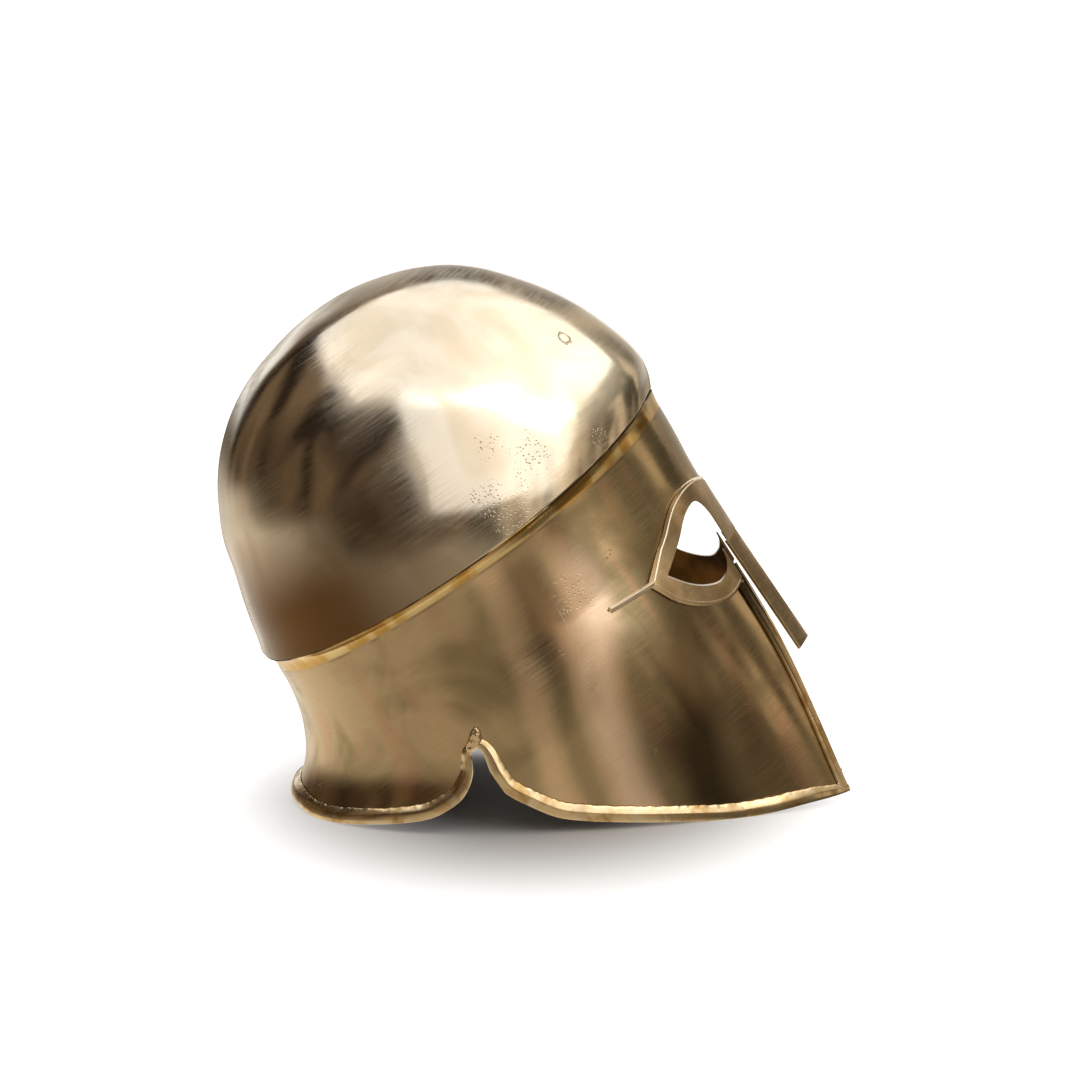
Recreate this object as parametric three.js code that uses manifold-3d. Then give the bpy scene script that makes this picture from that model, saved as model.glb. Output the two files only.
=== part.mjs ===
// Corinthian helmet in polished sheet brass, standing on its lower rim and leaning back.
//
// Units are millimetres. The helmet is built in its wearing pose: x forward, y to the wearer's
// left, z up, with the origin at the back corner of the crown's edge. Depths are measured down
// from that corner. The whole is then leaned back until the neck guard and the cheeks touch the
// ground, and set down on z = 0 about its own middle.
//
// The crown and the skirt below it are closed walls of horizontal sections. Each section is an
// oval with a back reach, a front reach, a widest place and a half width.

import * as THREE from 'three';
import { mergeVertices } from 'three/addons/utils/BufferGeometryUtils.js';
import Module from 'manifold-3d';

const wasm = await Module();
wasm.setup();

// Sheet and joints
const WALL = 1.2;
const GAP = 0.3;

// Crown
const CROWN_LENGTH = 236;
const CROWN_WIDTH = 192;
const CROWN_HEIGHT = 126;
const CROWN_EDGE_SAG = 11.5; // how far the edge dips at the sides
const RIDGE_HEIGHT = 3; // of the crease over the middle
const RIDGE_REACH = 26; // how far it fades to each side
const BROW_CREASE_END = 1.5; // where it is gone below the brow, in depths of the slit's top
const NAPE_CREASE_START = 0.4; // where it starts to fade down the nape, in depths of its edge

// Hollow step under the crown's edge
const STEP_WIDTH = 4.5; // at the sides
const STEP_BACK_SHARE = 0.67; // of that width at the back
const STEP_FRONT_SHARE = 0.2; // and at the front
const STEP_HEIGHT = 8;

// Skirt
const SAG_REACH = 60; // depth over which the sections level out
const WIDEST_AT = 100; // widest place of the skirt, from the back corner
const CHIN_WIDTH = 106;
const FACE_DEPTH = 220.5; // down to the tips of the cheeks
const FACE_RAKE = 22; // how far the chin lies behind the brow
const NAPE_DEPTH = 65.5; // down to the neck guard's edge at the back
const NAPE_FLARE = 27.5; // how far that edge sweeps out
const SIDE_FLARE = 4; // how far the edge sweeps out at the sides
const FLARE_DEEPENING = 1.1; // how soon the flare follows the deeper edge round to the sides
const NECK_DEPTH = 102.5; // down to the neck guard's lowest edge
const NOTCH_AT = 73; // notch between neck guard and cheek
const NOTCH_DEPTH = 85;

// Openings of the face
const EYE_LENGTH = 32.5;
const EYE_HEIGHT = 38.5;
const SLIT_TOP_WIDTH = 57;
const SLIT_BOTTOM_WIDTH = 36;
const SLIT_TAPER_CURVE = 1.6; // 1 tapers evenly, more keeps its top wide for longer
const SLIT_TOP_DEPTH = 81.5;
const EYE_CORNER_AT = CROWN_LENGTH - 42.6; // outer corner, from the back
const EYE_CORNER_DEPTH = SLIT_TOP_DEPTH - 8.5;

// Eye frames
const FRAME_WIDTH = 9;
const FRAME_THICKNESS = 1.2;
const BROW_TAIL = 22;
const TAIL_HEIGHT = 2.6;
const TAIL_RISE = 2.6; // over its length

// Nasal guard
const NASAL_LENGTH = 66;
const NASAL_WIDTH = 34;
const NASAL_FOLD = 6.3; // how far its edges lie behind its crease
const NASAL_FOLD_CURVE = 1.15; // 1 folds it into two flats, 2 into a round gutter
const NASAL_THICKNESS = 1.6;

// Rims
const RIM_HEIGHT = 7;
const RIM_THICKNESS = 2.8;
const RIM_CHAMFER = 3;
const RIM_OVERHANG = 0.6; // below the sheet's edge
const EDGE_STRIP_WIDTH = 5.5;
const EDGE_STRIP_THICKNESS = 1.2;
const FILED_FLAT = 0.35; // taken off the rims where they stand

// Roundness of the sections: 2 is an ellipse, more is fuller
const BACK_FULLNESS = 2.3;
const FRONT_FULLNESS = 2;
const SECTION_SIDES = 48;

const BRASS = { color: 0xa88f66, roughness: 0.28, metalness: 1 };
const WARM_BRASS = { color: 0xb98f45, roughness: 0.3, metalness: 1 };
const DARK_BRASS = { color: 0x7e6b4b, roughness: 0.32, metalness: 1 };

// Sections of the crown, bottom to top. Height is a share of CROWN_HEIGHT, back and front are
// shares of CROWN_LENGTH, and width is a share of CROWN_WIDTH.
const CROWN_SECTIONS = [
  { height: 0, back: 0, front: 1, width: 1 },
  { height: 0.06, back: 0.01, front: 1.014, width: 1.004 },
  { height: 0.13, back: 0.019, front: 1.02, width: 1.004 },
  { height: 0.22, back: 0.033, front: 1.013, width: 0.99 },
  { height: 0.33, back: 0.052, front: 0.995, width: 0.958 },
  { height: 0.45, back: 0.07, front: 0.969, width: 0.912 },
  { height: 0.56, back: 0.099, front: 0.935, width: 0.85 },
  { height: 0.67, back: 0.136, front: 0.893, width: 0.775 },
  { height: 0.77, back: 0.184, front: 0.848, width: 0.68 },
  { height: 0.86, back: 0.246, front: 0.79, width: 0.555 },
  { height: 0.93, back: 0.321, front: 0.717, width: 0.42 },
  { height: 0.975, back: 0.408, front: 0.64, width: 0.265 },
  { height: 0.995, back: 0.472, front: 0.58, width: 0.125 },
];
const CROWN_TOP_AT = 0.527;

// Nape seen from the side. Depth is a share of NAPE_DEPTH, out a share of NAPE_FLARE.
const NAPE = [
  { depth: 0.12, out: 0 },
  { depth: 0.34, out: 0.05 },
  { depth: 0.55, out: 0.17 },
  { depth: 0.71, out: 0.34 },
  { depth: 0.82, out: 0.5 },
  { depth: 0.9, out: 0.68 },
  { depth: 0.95, out: 0.83 },
  { depth: 1, out: 1 },
  { depth: 1.06, out: 1.15 },
  { depth: 1.15, out: 1.3 },
  { depth: 1.6, out: 1.5 },
  { depth: 3.4, out: 1.5 },
];

// Brow and chin seen from the side. Depth is a share of FACE_DEPTH, rake a share of FACE_RAKE.
const FACE = [
  { depth: 0, rake: 0 },
  { depth: 0.1, rake: 0.06 },
  { depth: 0.2, rake: 0.16 },
  { depth: 0.4, rake: 0.225 },
  { depth: 0.55, rake: 0.26 },
  { depth: 0.68, rake: 0.36 },
  { depth: 0.8, rake: 0.54 },
  { depth: 0.9, rake: 0.74 },
  { depth: 1.04, rake: 1.05 },
];

// How the skirt narrows to the chin, seen from the front. Depth is a share of FACE_DEPTH.
const NARROWING = [
  { depth: 0.04, share: 0 },
  { depth: 0.1, share: 0.025 },
  { depth: 0.25, share: 0.05 },
  { depth: 0.35, share: 0.065 },
  { depth: 0.42, share: 0.1 },
  { depth: 0.5, share: 0.18 },
  { depth: 0.6, share: 0.31 },
  { depth: 0.72, share: 0.52 },
  { depth: 0.86, share: 0.77 },
  { depth: 1.04, share: 1.04 },
];

// Lower edge of the neck guard seen from the side. Along is a share of the way from the nape's
// edge to the notch, drop a share of the way from NAPE_DEPTH down to NECK_DEPTH, and rise a
// share of the way from there up to NOTCH_DEPTH.
const NECK_EDGE = [
  { along: 0, drop: 0, rise: 0 },
  { along: 0.124, drop: 0.33, rise: 0 },
  { along: 0.356, drop: 0.66, rise: 0 },
  { along: 0.6, drop: 0.95, rise: 0 },
  { along: 0.74, drop: 1, rise: 0 },
  { along: 0.83, drop: 1, rise: 0.08 },
  { along: 0.91, drop: 1, rise: 0.38 },
  { along: 0.953, drop: 1, rise: 0.74 },
  { along: 0.968, drop: 1, rise: 0.92 },
  { along: 1, drop: 1, rise: 1 },
];

// Lower edge of a cheek seen from the side. Along and drop are shares of the way from the
// notch to the tip.
const CHEEK_EDGE = [
  { along: 0, drop: 0 },
  { along: 0.02, drop: 0.012 },
  { along: 0.018, drop: 0.05 },
  { along: 0.002, drop: 0.12 },
  { along: 0.004, drop: 0.188 },
  { along: 0.045, drop: 0.2745 },
  { along: 0.105, drop: 0.372 },
  { along: 0.199, drop: 0.459 },
  { along: 0.342, drop: 0.5756 },
  { along: 0.47, drop: 0.675 },
  { along: 0.6, drop: 0.773 },
  { along: 0.72, drop: 0.845 },
  { along: 0.86, drop: 0.917 },
  { along: 1, drop: 1 },
];

// Eye opening seen from the side, from its outer corner over the top and down to the nasal
// guard, then back along the lower lid. Along is a share of EYE_LENGTH from the outer corner,
// drop a share of EYE_HEIGHT below it.
const EYE_TOP = [
  { along: 0, drop: 0 },
  { along: 0.23, drop: -0.13 },
  { along: 0.45, drop: -0.262 },
  { along: 0.62, drop: -0.385 },
  { along: 0.76, drop: -0.458 },
  { along: 0.9, drop: -0.475 },
  { along: 0.965, drop: -0.39 },
  { along: 0.995, drop: -0.21 },
  { along: 0.99, drop: 0.03 },
];
const EYE_BOTTOM = [
  { along: 0.86, drop: 0.25 },
  { along: 0.83, drop: 0.37 },
  { along: 0.73, drop: 0.48 },
  { along: 0.58, drop: 0.515 },
  { along: 0.39, drop: 0.43 },
  { along: 0.19, drop: 0.257 },
  { along: 0, drop: 0 },
];

// How the nasal guard's width changes down its length
const NASAL_WIDTHS = [1, 0.93, 0.88, 0.87, 0.9, 0.94];

// Smooth value of one column of a table at a given depth, by a cubic through its rows
function columnAt(rows, key, depth) {
  const last = rows.length - 1;
  if (depth <= rows[0].depth) return rows[0][key];
  if (depth >= rows[last].depth) return rows[last][key];
  let i = 0;
  while (rows[i + 1].depth < depth) i += 1;
  const slope = (j) => {
    const low = rows[Math.max(j - 1, 0)];
    const high = rows[Math.min(j + 1, last)];
    return (high[key] - low[key]) / (high.depth - low.depth);
  };
  const span = rows[i + 1].depth - rows[i].depth;
  const t = (depth - rows[i].depth) / span;
  const start = rows[i][key] * (2 * t ** 3 - 3 * t ** 2 + 1);
  const end = rows[i + 1][key] * (3 * t ** 2 - 2 * t ** 3);
  const leave = slope(i) * span * (t ** 3 - 2 * t ** 2 + t);
  const arrive = slope(i + 1) * span * (t ** 3 - t ** 2);
  return start + end + leave + arrive;
}

const signedPower = (value, power) => Math.sign(value) * Math.abs(value) ** power;

// Point of an oval section: angle 0 is the front, a quarter turn is the wearer's left
function ovalPoint(section, angle) {
  const ahead = Math.cos(angle);
  const aside = Math.sin(angle);
  const front = ahead >= 0;
  const power = 2 / (front ? FRONT_FULLNESS : BACK_FULLNESS);
  const reach = front ? section.front - section.widest : section.widest - section.back;
  return {
    x: section.widest + reach * signedPower(ahead, power),
    y: section.halfWidth * signedPower(aside, power),
  };
}

const ridgeAt = (y) => RIDGE_HEIGHT * Math.max(0, 1 - Math.abs(y) / RIDGE_REACH) ** 2;

const sagAt = (angle) => CROWN_EDGE_SAG * Math.abs(Math.sin(angle)) ** 1.5;

// Point of the crown's outside at a height share. The ridge is added outward from the middle.
const CROWN_MIDDLE = CROWN_LENGTH / 2;
const RIDGE_ROOM = 1 - RIDGE_HEIGHT / CROWN_MIDDLE;

function crownPoint(row, angle) {
  const fromMiddle = (share) => CROWN_MIDDLE + (share * CROWN_LENGTH - CROWN_MIDDLE) * RIDGE_ROOM;
  const flat = ovalPoint({
    back: fromMiddle(row.back),
    front: fromMiddle(row.front),
    widest: CROWN_MIDDLE,
    halfWidth: (row.width * CROWN_WIDTH) / 2,
  }, angle);
  const height = row.height * CROWN_HEIGHT * RIDGE_ROOM;
  const outward = new THREE.Vector2(flat.x - CROWN_MIDDLE, height).normalize();
  const ridge = ridgeAt(flat.y);
  const sag = sagAt(angle) * (1 - row.height) ** 2;
  return new THREE.Vector3(
    flat.x + ridge * outward.x,
    flat.y,
    height + ridge * outward.y - sag,
  );
}

// Row of the crown's table between two rows, by a smooth curve through the four nearest
function crownRow(place) {
  const last = CROWN_SECTIONS.length;
  const top = { height: 1, back: CROWN_TOP_AT, front: CROWN_TOP_AT, width: 0 };
  const rowAt = (i) => (i >= last ? top : CROWN_SECTIONS[Math.max(i, 0)]);
  const i = Math.min(Math.floor(place), last - 1);
  const t = place - i;
  const blend = (key) => {
    const [a, b, c, d] = [rowAt(i - 1)[key], rowAt(i)[key], rowAt(i + 1)[key], rowAt(i + 2)[key]];
    const bend = 2 * a - 5 * b + 4 * c - d;
    return b + 0.5 * t * (c - a + t * (bend + t * (3 * (b - c) + d - a)));
  };
  return { height: blend('height'), back: blend('back'), front: blend('front'), width: blend('width') };
}

// Section of the skirt at a depth. The step under the crown is hollow, so it steps in at once
// and then runs down.
function skirtSection(depth) {
  const down = Math.min(depth / STEP_HEIGHT, 1);
  const step = STEP_WIDTH * (1 - (1 - down) ** 2);
  const faceShare = depth / FACE_DEPTH;
  const sideWidth = CROWN_WIDTH / 2 - step;
  const chinWidth = CHIN_WIDTH / 2;
  const levelling = Math.min(depth / SAG_REACH, 1);
  const rake = FACE_RAKE * columnAt(FACE, 'rake', faceShare);
  return {
    back: RIDGE_HEIGHT * creaseShare(depth, false) + step * STEP_BACK_SHARE,
    front: CROWN_LENGTH - RIDGE_HEIGHT - step * STEP_FRONT_SHARE - rake,
    widest: CROWN_MIDDLE + (WIDEST_AT - CROWN_MIDDLE) * levelling,
    halfWidth: sideWidth + (chinWidth - sideWidth) * columnAt(NARROWING, 'share', faceShare),
  };
}

// The crease runs down the forehead and dies out below it and down the nape
const creaseShare = (depth, ahead) => {
  const full = ahead ? SLIT_TOP_DEPTH : NAPE_CREASE_START * NAPE_DEPTH;
  const gone = ahead ? BROW_CREASE_END * SLIT_TOP_DEPTH : NAPE_DEPTH;
  return THREE.MathUtils.clamp((gone - depth) / (gone - full), 0, 1);
};

// How far the neck guard sweeps out. It follows the guard's edge, which lies deeper at the sides,
// and fades out ahead of the notch.
function flareAt(depth, angle) {
  const behind = Math.max(0, -Math.cos(angle));
  const ahead = Math.max(0, Math.cos(angle));
  const toTheSide = Math.min(1, FLARE_DEEPENING * Math.sin(angle) ** 2);
  const edgeDepth = NAPE_DEPTH + (NECK_DEPTH - NAPE_DEPTH) * toTheSide;
  const sweep = SIDE_FLARE * Math.max(0, 1 - 2 * ahead) + (NAPE_FLARE - SIDE_FLARE) * behind ** 1.5;
  return sweep * columnAt(NAPE, 'out', depth / edgeDepth);
}

function skirtPoint(depth, angle) {
  const flat = ovalPoint(skirtSection(depth), angle);
  const ahead = Math.cos(angle) >= 0;
  const ridge = ridgeAt(flat.y) * (ahead ? 1 : -1) * creaseShare(depth, ahead);
  const flare = flareAt(depth, angle);
  const sag = sagAt(angle) * Math.max(0, 1 - depth / SAG_REACH) ** 2;
  return new THREE.Vector3(
    flat.x + ridge + flare * Math.cos(angle),
    flat.y + flare * Math.sin(angle),
    -GAP - depth - sag,
  );
}

// Outward normal of a surface given by two numbers, by small differences
function outwardNormal(surface, across, angle, turn) {
  const small = 0.01;
  const tiny = 0.0005;
  const up = surface(across + small, angle).sub(surface(Math.max(across - small, 0), angle));
  const round = surface(across, angle + tiny).sub(surface(across, angle - tiny));
  return round.cross(up).multiplyScalar(turn).normalize();
}

const crownSurface = (place, angle) => crownPoint(crownRow(place), angle);
const crownNormal = (place, angle) => outwardNormal(crownSurface, place, angle, 1);
const skirtNormal = (depth, angle) => outwardNormal(skirtPoint, depth, angle, -1);

const anglesRound = Array.from({ length: SECTION_SIDES }, (_, i) => (i * 2 * Math.PI) / SECTION_SIDES);

// One ring of points, pushed outward from the surface by an offset. An end ring is pushed
// level, so that the sheet's edge stays square to its neighbour.
function ring(surface, normal, across, offset, level = false) {
  return anglesRound.map((angle) => {
    const out = normal(across, angle);
    if (level) out.setZ(0).normalize();
    return surface(across, angle).addScaledVector(out, offset);
  });
}

// Closed body from rings of points: each ring is joined to the next one, and the last ring
// either to the first one or to a single closing point at each end.
function bodyFromRings(rings, ends = null) {
  const sides = rings[0].length;
  const points = rings.flat();
  const faces = [];
  const joined = ends ? rings.length - 1 : rings.length;
  for (let r = 0; r < joined; r += 1) {
    const next = (r + 1) % rings.length;
    for (let i = 0; i < sides; i += 1) {
      const j = (i + 1) % sides;
      const [a, b, c, d] = [r * sides + i, r * sides + j, next * sides + j, next * sides + i];
      faces.push(a, b, c, a, c, d);
    }
  }
  if (ends) {
    const first = points.length;
    points.push(ends[0], ends[1]);
    const lastRing = (rings.length - 1) * sides;
    for (let i = 0; i < sides; i += 1) {
      const j = (i + 1) % sides;
      faces.push(first, j, i, first + 1, lastRing + i, lastRing + j);
    }
  }
  return solidFrom(points, faces);
}

// Solid from points and faces, turned so that its faces point out
function solidFrom(points, faces) {
  const geometry = new THREE.BufferGeometry();
  const flat = points.flatMap((p) => [p.x, p.y, p.z]);
  geometry.setAttribute('position', new THREE.Float32BufferAttribute(flat, 3));
  geometry.setIndex(faces);
  return solidFromGeometry(geometry);
}

function signedVolume(position, index) {
  const [a, b, c] = [new THREE.Vector3(), new THREE.Vector3(), new THREE.Vector3()];
  let volume = 0;
  for (let i = 0; i < index.length; i += 3) {
    a.fromBufferAttribute(position, index[i]);
    b.fromBufferAttribute(position, index[i + 1]);
    c.fromBufferAttribute(position, index[i + 2]);
    volume += a.dot(b.cross(c)) / 6;
  }
  return volume;
}

function solidFromGeometry(source) {
  source.deleteAttribute('normal');
  source.deleteAttribute('uv');
  const geometry = mergeVertices(source, 1e-4);
  const { position } = geometry.attributes;
  const index = Array.from(geometry.index.array);
  if (signedVolume(position, index) < 0) index.reverse();
  const mesh = new wasm.Mesh({
    numProp: 3,
    vertProperties: Float32Array.from(position.array),
    triVerts: Uint32Array.from(index),
  });
  return new wasm.Manifold(mesh);
}

function geometryOf(solid) {
  const mesh = solid.getMesh();
  const geometry = new THREE.BufferGeometry();
  geometry.setAttribute('position', new THREE.BufferAttribute(mesh.vertProperties, 3));
  geometry.setIndex(new THREE.BufferAttribute(mesh.triVerts, 1));
  geometry.computeVertexNormals();
  return geometry;
}

// Prism across the helmet, from an outline of (along, depth) points seen from the side
function sidePrism(outline, from, to) {
  const shape = new THREE.Shape(outline.map(([along, depth]) => new THREE.Vector2(along, -depth)));
  const geometry = new THREE.ExtrudeGeometry(shape, { depth: to - from, bevelEnabled: false });
  geometry.rotateX(Math.PI / 2);
  geometry.translate(0, to, 0);
  return solidFromGeometry(geometry);
}

// Prism along the helmet, from an outline of (aside, depth) points seen from the front
function frontPrism(outline, from, to) {
  const shape = new THREE.Shape(outline.map(([aside, depth]) => new THREE.Vector2(aside, -depth)));
  const geometry = new THREE.ExtrudeGeometry(shape, { depth: to - from, bevelEnabled: false });
  geometry.rotateX(Math.PI / 2);
  geometry.rotateZ(Math.PI / 2);
  geometry.translate(from, 0, 0);
  return solidFromGeometry(geometry);
}

// Evenly spaced points on a smooth curve through an outline's points
function smoothOutline(points, steps) {
  const curve = new THREE.SplineCurve(points.map(([x, y]) => new THREE.Vector2(x, y)));
  return curve.getSpacedPoints(steps).map((p) => [p.x, p.y]);
}

// Crown bowl
function makeCrown() {
  const places = CROWN_SECTIONS.map((_, i) => i);
  const outside = places.map((p) => ring(crownSurface, crownNormal, p, 0, p === 0));
  const inside = places.map((p) => ring(crownSurface, crownNormal, p, -WALL, p === 0));
  const topOutside = crownSurface(CROWN_SECTIONS.length, 0);
  const topInside = topOutside.clone().setZ(topOutside.z - WALL);
  return bodyFromRings([...outside.reverse(), ...inside], [topOutside, topInside]);
}

const evenly = (from, to, steps) => (
  Array.from({ length: steps + 1 }, (_, i) => from + ((to - from) * i) / steps)
);

// Depths of the skirt's rings: close together in the hollow step and in the nape's flare
function skirtDepths() {
  const inStep = [0, 0.22, 0.45, 0.7].map((share) => share * STEP_HEIGHT);
  const nape = evenly(STEP_HEIGHT, 0.7 * NAPE_DEPTH, 4);
  const flare = evenly(0.76 * NAPE_DEPTH, NECK_DEPTH, 13);
  const cheeks = evenly(NECK_DEPTH, FACE_DEPTH * 1.03, 9).slice(1);
  return [...inStep, ...nape, ...flare, ...cheeks];
}

// Sheet that follows the skirt's outside between two offsets
function skirtLayer(inner, outer, depths) {
  const outside = depths.map((d) => ring(skirtPoint, skirtNormal, d, outer, d === 0));
  const inside = depths.map((d) => ring(skirtPoint, skirtNormal, d, inner, d === 0));
  return bodyFromRings([...outside, ...inside.reverse()]);
}

// Angle between two others at which a test of the angle turns from true to false
function turningAngle(low, high, isBefore) {
  let [from, to] = [low, high];
  for (let i = 0; i < 30; i += 1) {
    const angle = (from + to) / 2;
    if (isBefore(angle)) from = angle;
    else to = angle;
  }
  return (from + to) / 2;
}

// Angle of the skirt's outside at a place along the helmet, on the wearer's left
const angleAt = (along, depth) => (
  turningAngle(0, Math.PI, (angle) => skirtPoint(depth, angle).x > along)
);

// Angle of the skirt's outside at a distance to the left of the middle, on the face
const angleAside = (aside, depth) => (
  turningAngle(0, Math.PI / 2, (angle) => skirtPoint(depth, angle).y < aside)
);

const slitHalfWidth = (depth) => {
  const share = THREE.MathUtils.clamp((depth - SLIT_TOP_DEPTH) / (FACE_DEPTH - SLIT_TOP_DEPTH), 0, 1);
  const taper = share ** SLIT_TAPER_CURVE;
  return (SLIT_TOP_WIDTH + (SLIT_BOTTOM_WIDTH - SLIT_TOP_WIDTH) * taper) / 2;
};

// Tips of the cheeks, where the lower edge meets the slit
const CHEEK_TIP_AT = skirtPoint(FACE_DEPTH, angleAside(slitHalfWidth(FACE_DEPTH), FACE_DEPTH)).x;
const NAPE_EDGE_AT = skirtPoint(NAPE_DEPTH, Math.PI).x;

// Evenly spaced (depth, angle) places on the wearer's left along an edge seen from the side
function placesAlong(outline, count) {
  const edge = smoothOutline(outline, 400);
  const places = edge.map(([along, depth]) => [depth, angleAt(along, depth)]);
  const points = places.map(([depth, angle]) => skirtPoint(depth, angle));
  const run = points.map(() => 0);
  for (let i = 1; i < points.length; i += 1) run[i] = run[i - 1] + points[i].distanceTo(points[i - 1]);
  const total = run[run.length - 1];
  return evenly(0, total, count).map((goal) => {
    const i = Math.min(run.filter((length) => length <= goal).length, run.length - 1);
    const share = (goal - run[i - 1]) / (run[i] - run[i - 1]);
    const [low, high] = [places[i - 1], places[i]];
    return [low[0] + (high[0] - low[0]) * share, low[1] + (high[1] - low[1]) * share];
  });
}

const neckEdge = placesAlong(NECK_EDGE.map(({ along, drop, rise }) => [
  NAPE_EDGE_AT + along * (NOTCH_AT - NAPE_EDGE_AT),
  NAPE_DEPTH + drop * (NECK_DEPTH - NAPE_DEPTH) - rise * (NECK_DEPTH - NOTCH_DEPTH),
]), 21);
const cheekEdge = placesAlong(CHEEK_EDGE.map(({ along, drop }) => [
  NOTCH_AT + along * (CHEEK_TIP_AT - NOTCH_AT),
  NOTCH_DEPTH + drop * (FACE_DEPTH - NOTCH_DEPTH),
]), 25);

// Everything below the lower edge, seen from the side
const BEYOND = 80;
function belowEdge() {
  const fromSide = ([depth, angle]) => {
    const point = skirtPoint(depth, angle);
    return [point.x, -point.z];
  };
  const [tipAlong, tipDepth] = fromSide(cheekEdge[cheekEdge.length - 1]);
  return [
    [-BEYOND - NAPE_FLARE, NAPE_DEPTH],
    ...neckEdge.map(fromSide),
    ...cheekEdge.slice(1).map(fromSide),
    [tipAlong + BEYOND, tipDepth + BEYOND / 2],
    [tipAlong + BEYOND, FACE_DEPTH + BEYOND],
    [-BEYOND - NAPE_FLARE, FACE_DEPTH + BEYOND],
  ];
}

const eyePlace = ({ along, drop }) => [
  EYE_CORNER_AT + along * EYE_LENGTH,
  EYE_CORNER_DEPTH + drop * EYE_HEIGHT,
];
const eyeTop = smoothOutline(EYE_TOP.map(eyePlace), 16);
const eyeBottom = smoothOutline(EYE_BOTTOM.map(eyePlace), 14);
const innerLid = eyeTop[eyeTop.length - 1][0];

function eyeOpening() {
  return [...eyeTop, [innerLid, SLIT_TOP_DEPTH + 1], ...eyeBottom.slice(0, -1)];
}

function slitOutline() {
  const depths = [...evenly(SLIT_TOP_DEPTH, FACE_DEPTH, 8), FACE_DEPTH + BEYOND];
  const left = depths.map((depth) => [slitHalfWidth(depth), depth]);
  const right = left.map(([aside, depth]) => [-aside, depth]).reverse();
  return [...left, ...right];
}

const slitCutter = () => frontPrism(slitOutline(), WIDEST_AT, CROWN_LENGTH + BEYOND);

// Sheet of face, cheeks and neck guard
function makeSkirt() {
  const reach = CROWN_WIDTH;
  return skirtLayer(-WALL, 0, skirtDepths())
    .subtract(sidePrism(belowEdge(), -reach, reach))
    .subtract(sidePrism(eyeOpening(), -reach, reach))
    .subtract(slitCutter());
}

// Outline of an eye frame: the opening, grown outward by the frame's width, with the brow tail
function frameOutline() {
  const middle = [EYE_CORNER_AT + EYE_LENGTH * 0.6, EYE_CORNER_DEPTH];
  const grown = (points) => points.map(([along, depth], i) => {
    const before = points[Math.max(i - 1, 0)];
    const after = points[Math.min(i + 1, points.length - 1)];
    const way = new THREE.Vector2(after[0] - before[0], after[1] - before[1]).normalize();
    const out = new THREE.Vector2(way.y, -way.x);
    if (out.dot(new THREE.Vector2(along - middle[0], depth - middle[1])) < 0) out.negate();
    return [along + out.x * FRAME_WIDTH, depth + out.y * FRAME_WIDTH];
  });
  const brow = grown(eyeTop.slice(2, -4));
  const lid = grown(eyeBottom.slice(2, -2));
  const root = [eyeTop[0][0] - FRAME_WIDTH, eyeTop[0][1] - FRAME_WIDTH * 0.2];
  const tailEnd = [root[0] - BROW_TAIL, root[1] - TAIL_RISE];
  const beside = ([along, depth], half) => [[along, depth - half], [along, depth + half]];
  const [rootTop, rootBottom] = beside(root, TAIL_HEIGHT / 2);
  const [endTop, endBottom] = beside(tailEnd, TAIL_HEIGHT / 4);
  const beyond = CROWN_LENGTH + BEYOND;
  const top = brow[brow.length - 1];
  return [
    endTop,
    rootTop,
    ...brow,
    [beyond, top[1] + (beyond - top[0]) * 0.05],
    [beyond, SLIT_TOP_DEPTH],
    [innerLid, SLIT_TOP_DEPTH],
    ...[...eyeTop].reverse(),
    ...[...eyeBottom].reverse().slice(1),
    [beyond, eyeBottom[0][1]],
    [beyond, lid[0][1]],
    ...lid,
    rootBottom,
    endBottom,
  ];
}

function makeEyeFrame(side) {
  const depths = skirtDepths().filter((d) => d > 0.1 * FACE_DEPTH && d < 0.6 * FACE_DEPTH);
  const near = GAP / 2;
  const far = CROWN_WIDTH;
  const outline = sidePrism(frameOutline(), side > 0 ? near : -far, side > 0 ? far : -near);
  return skirtLayer(GAP, GAP + FRAME_THICKNESS, depths).intersect(outline).subtract(slitCutter());
}

// Small steps over the sheet, in millimetres and radians, that give its slope at a place
const DEPTH_STEP = 0.5;
const ANGLE_STEP = 0.01;

// Strip that follows the skirt along a path of (depth, angle) places. Its profile is a list of
// (up, out) points, up along the sheet from its edge and out from its outside.
function makeStrip(path, profile) {
  const rings = path.map(([depth, angle], i) => {
    const at = skirtPoint(depth, angle);
    const before = path[Math.max(i - 1, 0)];
    const after = path[Math.min(i + 1, path.length - 1)];
    const way = skirtPoint(...after).sub(skirtPoint(...before)).normalize();
    const up = skirtNormal(depth, angle).cross(way).normalize();
    const perDepth = skirtPoint(depth + DEPTH_STEP, angle).sub(at).divideScalar(DEPTH_STEP);
    const perAngle = skirtPoint(depth, angle + ANGLE_STEP).sub(at).divideScalar(ANGLE_STEP);
    const [dd, da, aa] = [perDepth.dot(perDepth), perDepth.dot(perAngle), perAngle.dot(perAngle)];
    const [du, au] = [perDepth.dot(up), perAngle.dot(up)];
    const scale = dd * aa - da * da;
    const moreDepth = (du * aa - au * da) / scale;
    const moreAngle = (au * dd - du * da) / scale;
    return profile.map(([along, out]) => {
      const [d, a] = [depth + moreDepth * along, angle + moreAngle * along];
      return skirtPoint(d, a).addScaledVector(skirtNormal(d, a), out);
    });
  });
  const centre = (points) => points.reduce((sum, p) => sum.add(p), new THREE.Vector3())
    .divideScalar(points.length);
  return bodyFromRings(rings, [centre(rings[0]), centre(rings[rings.length - 1])]);
}

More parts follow.
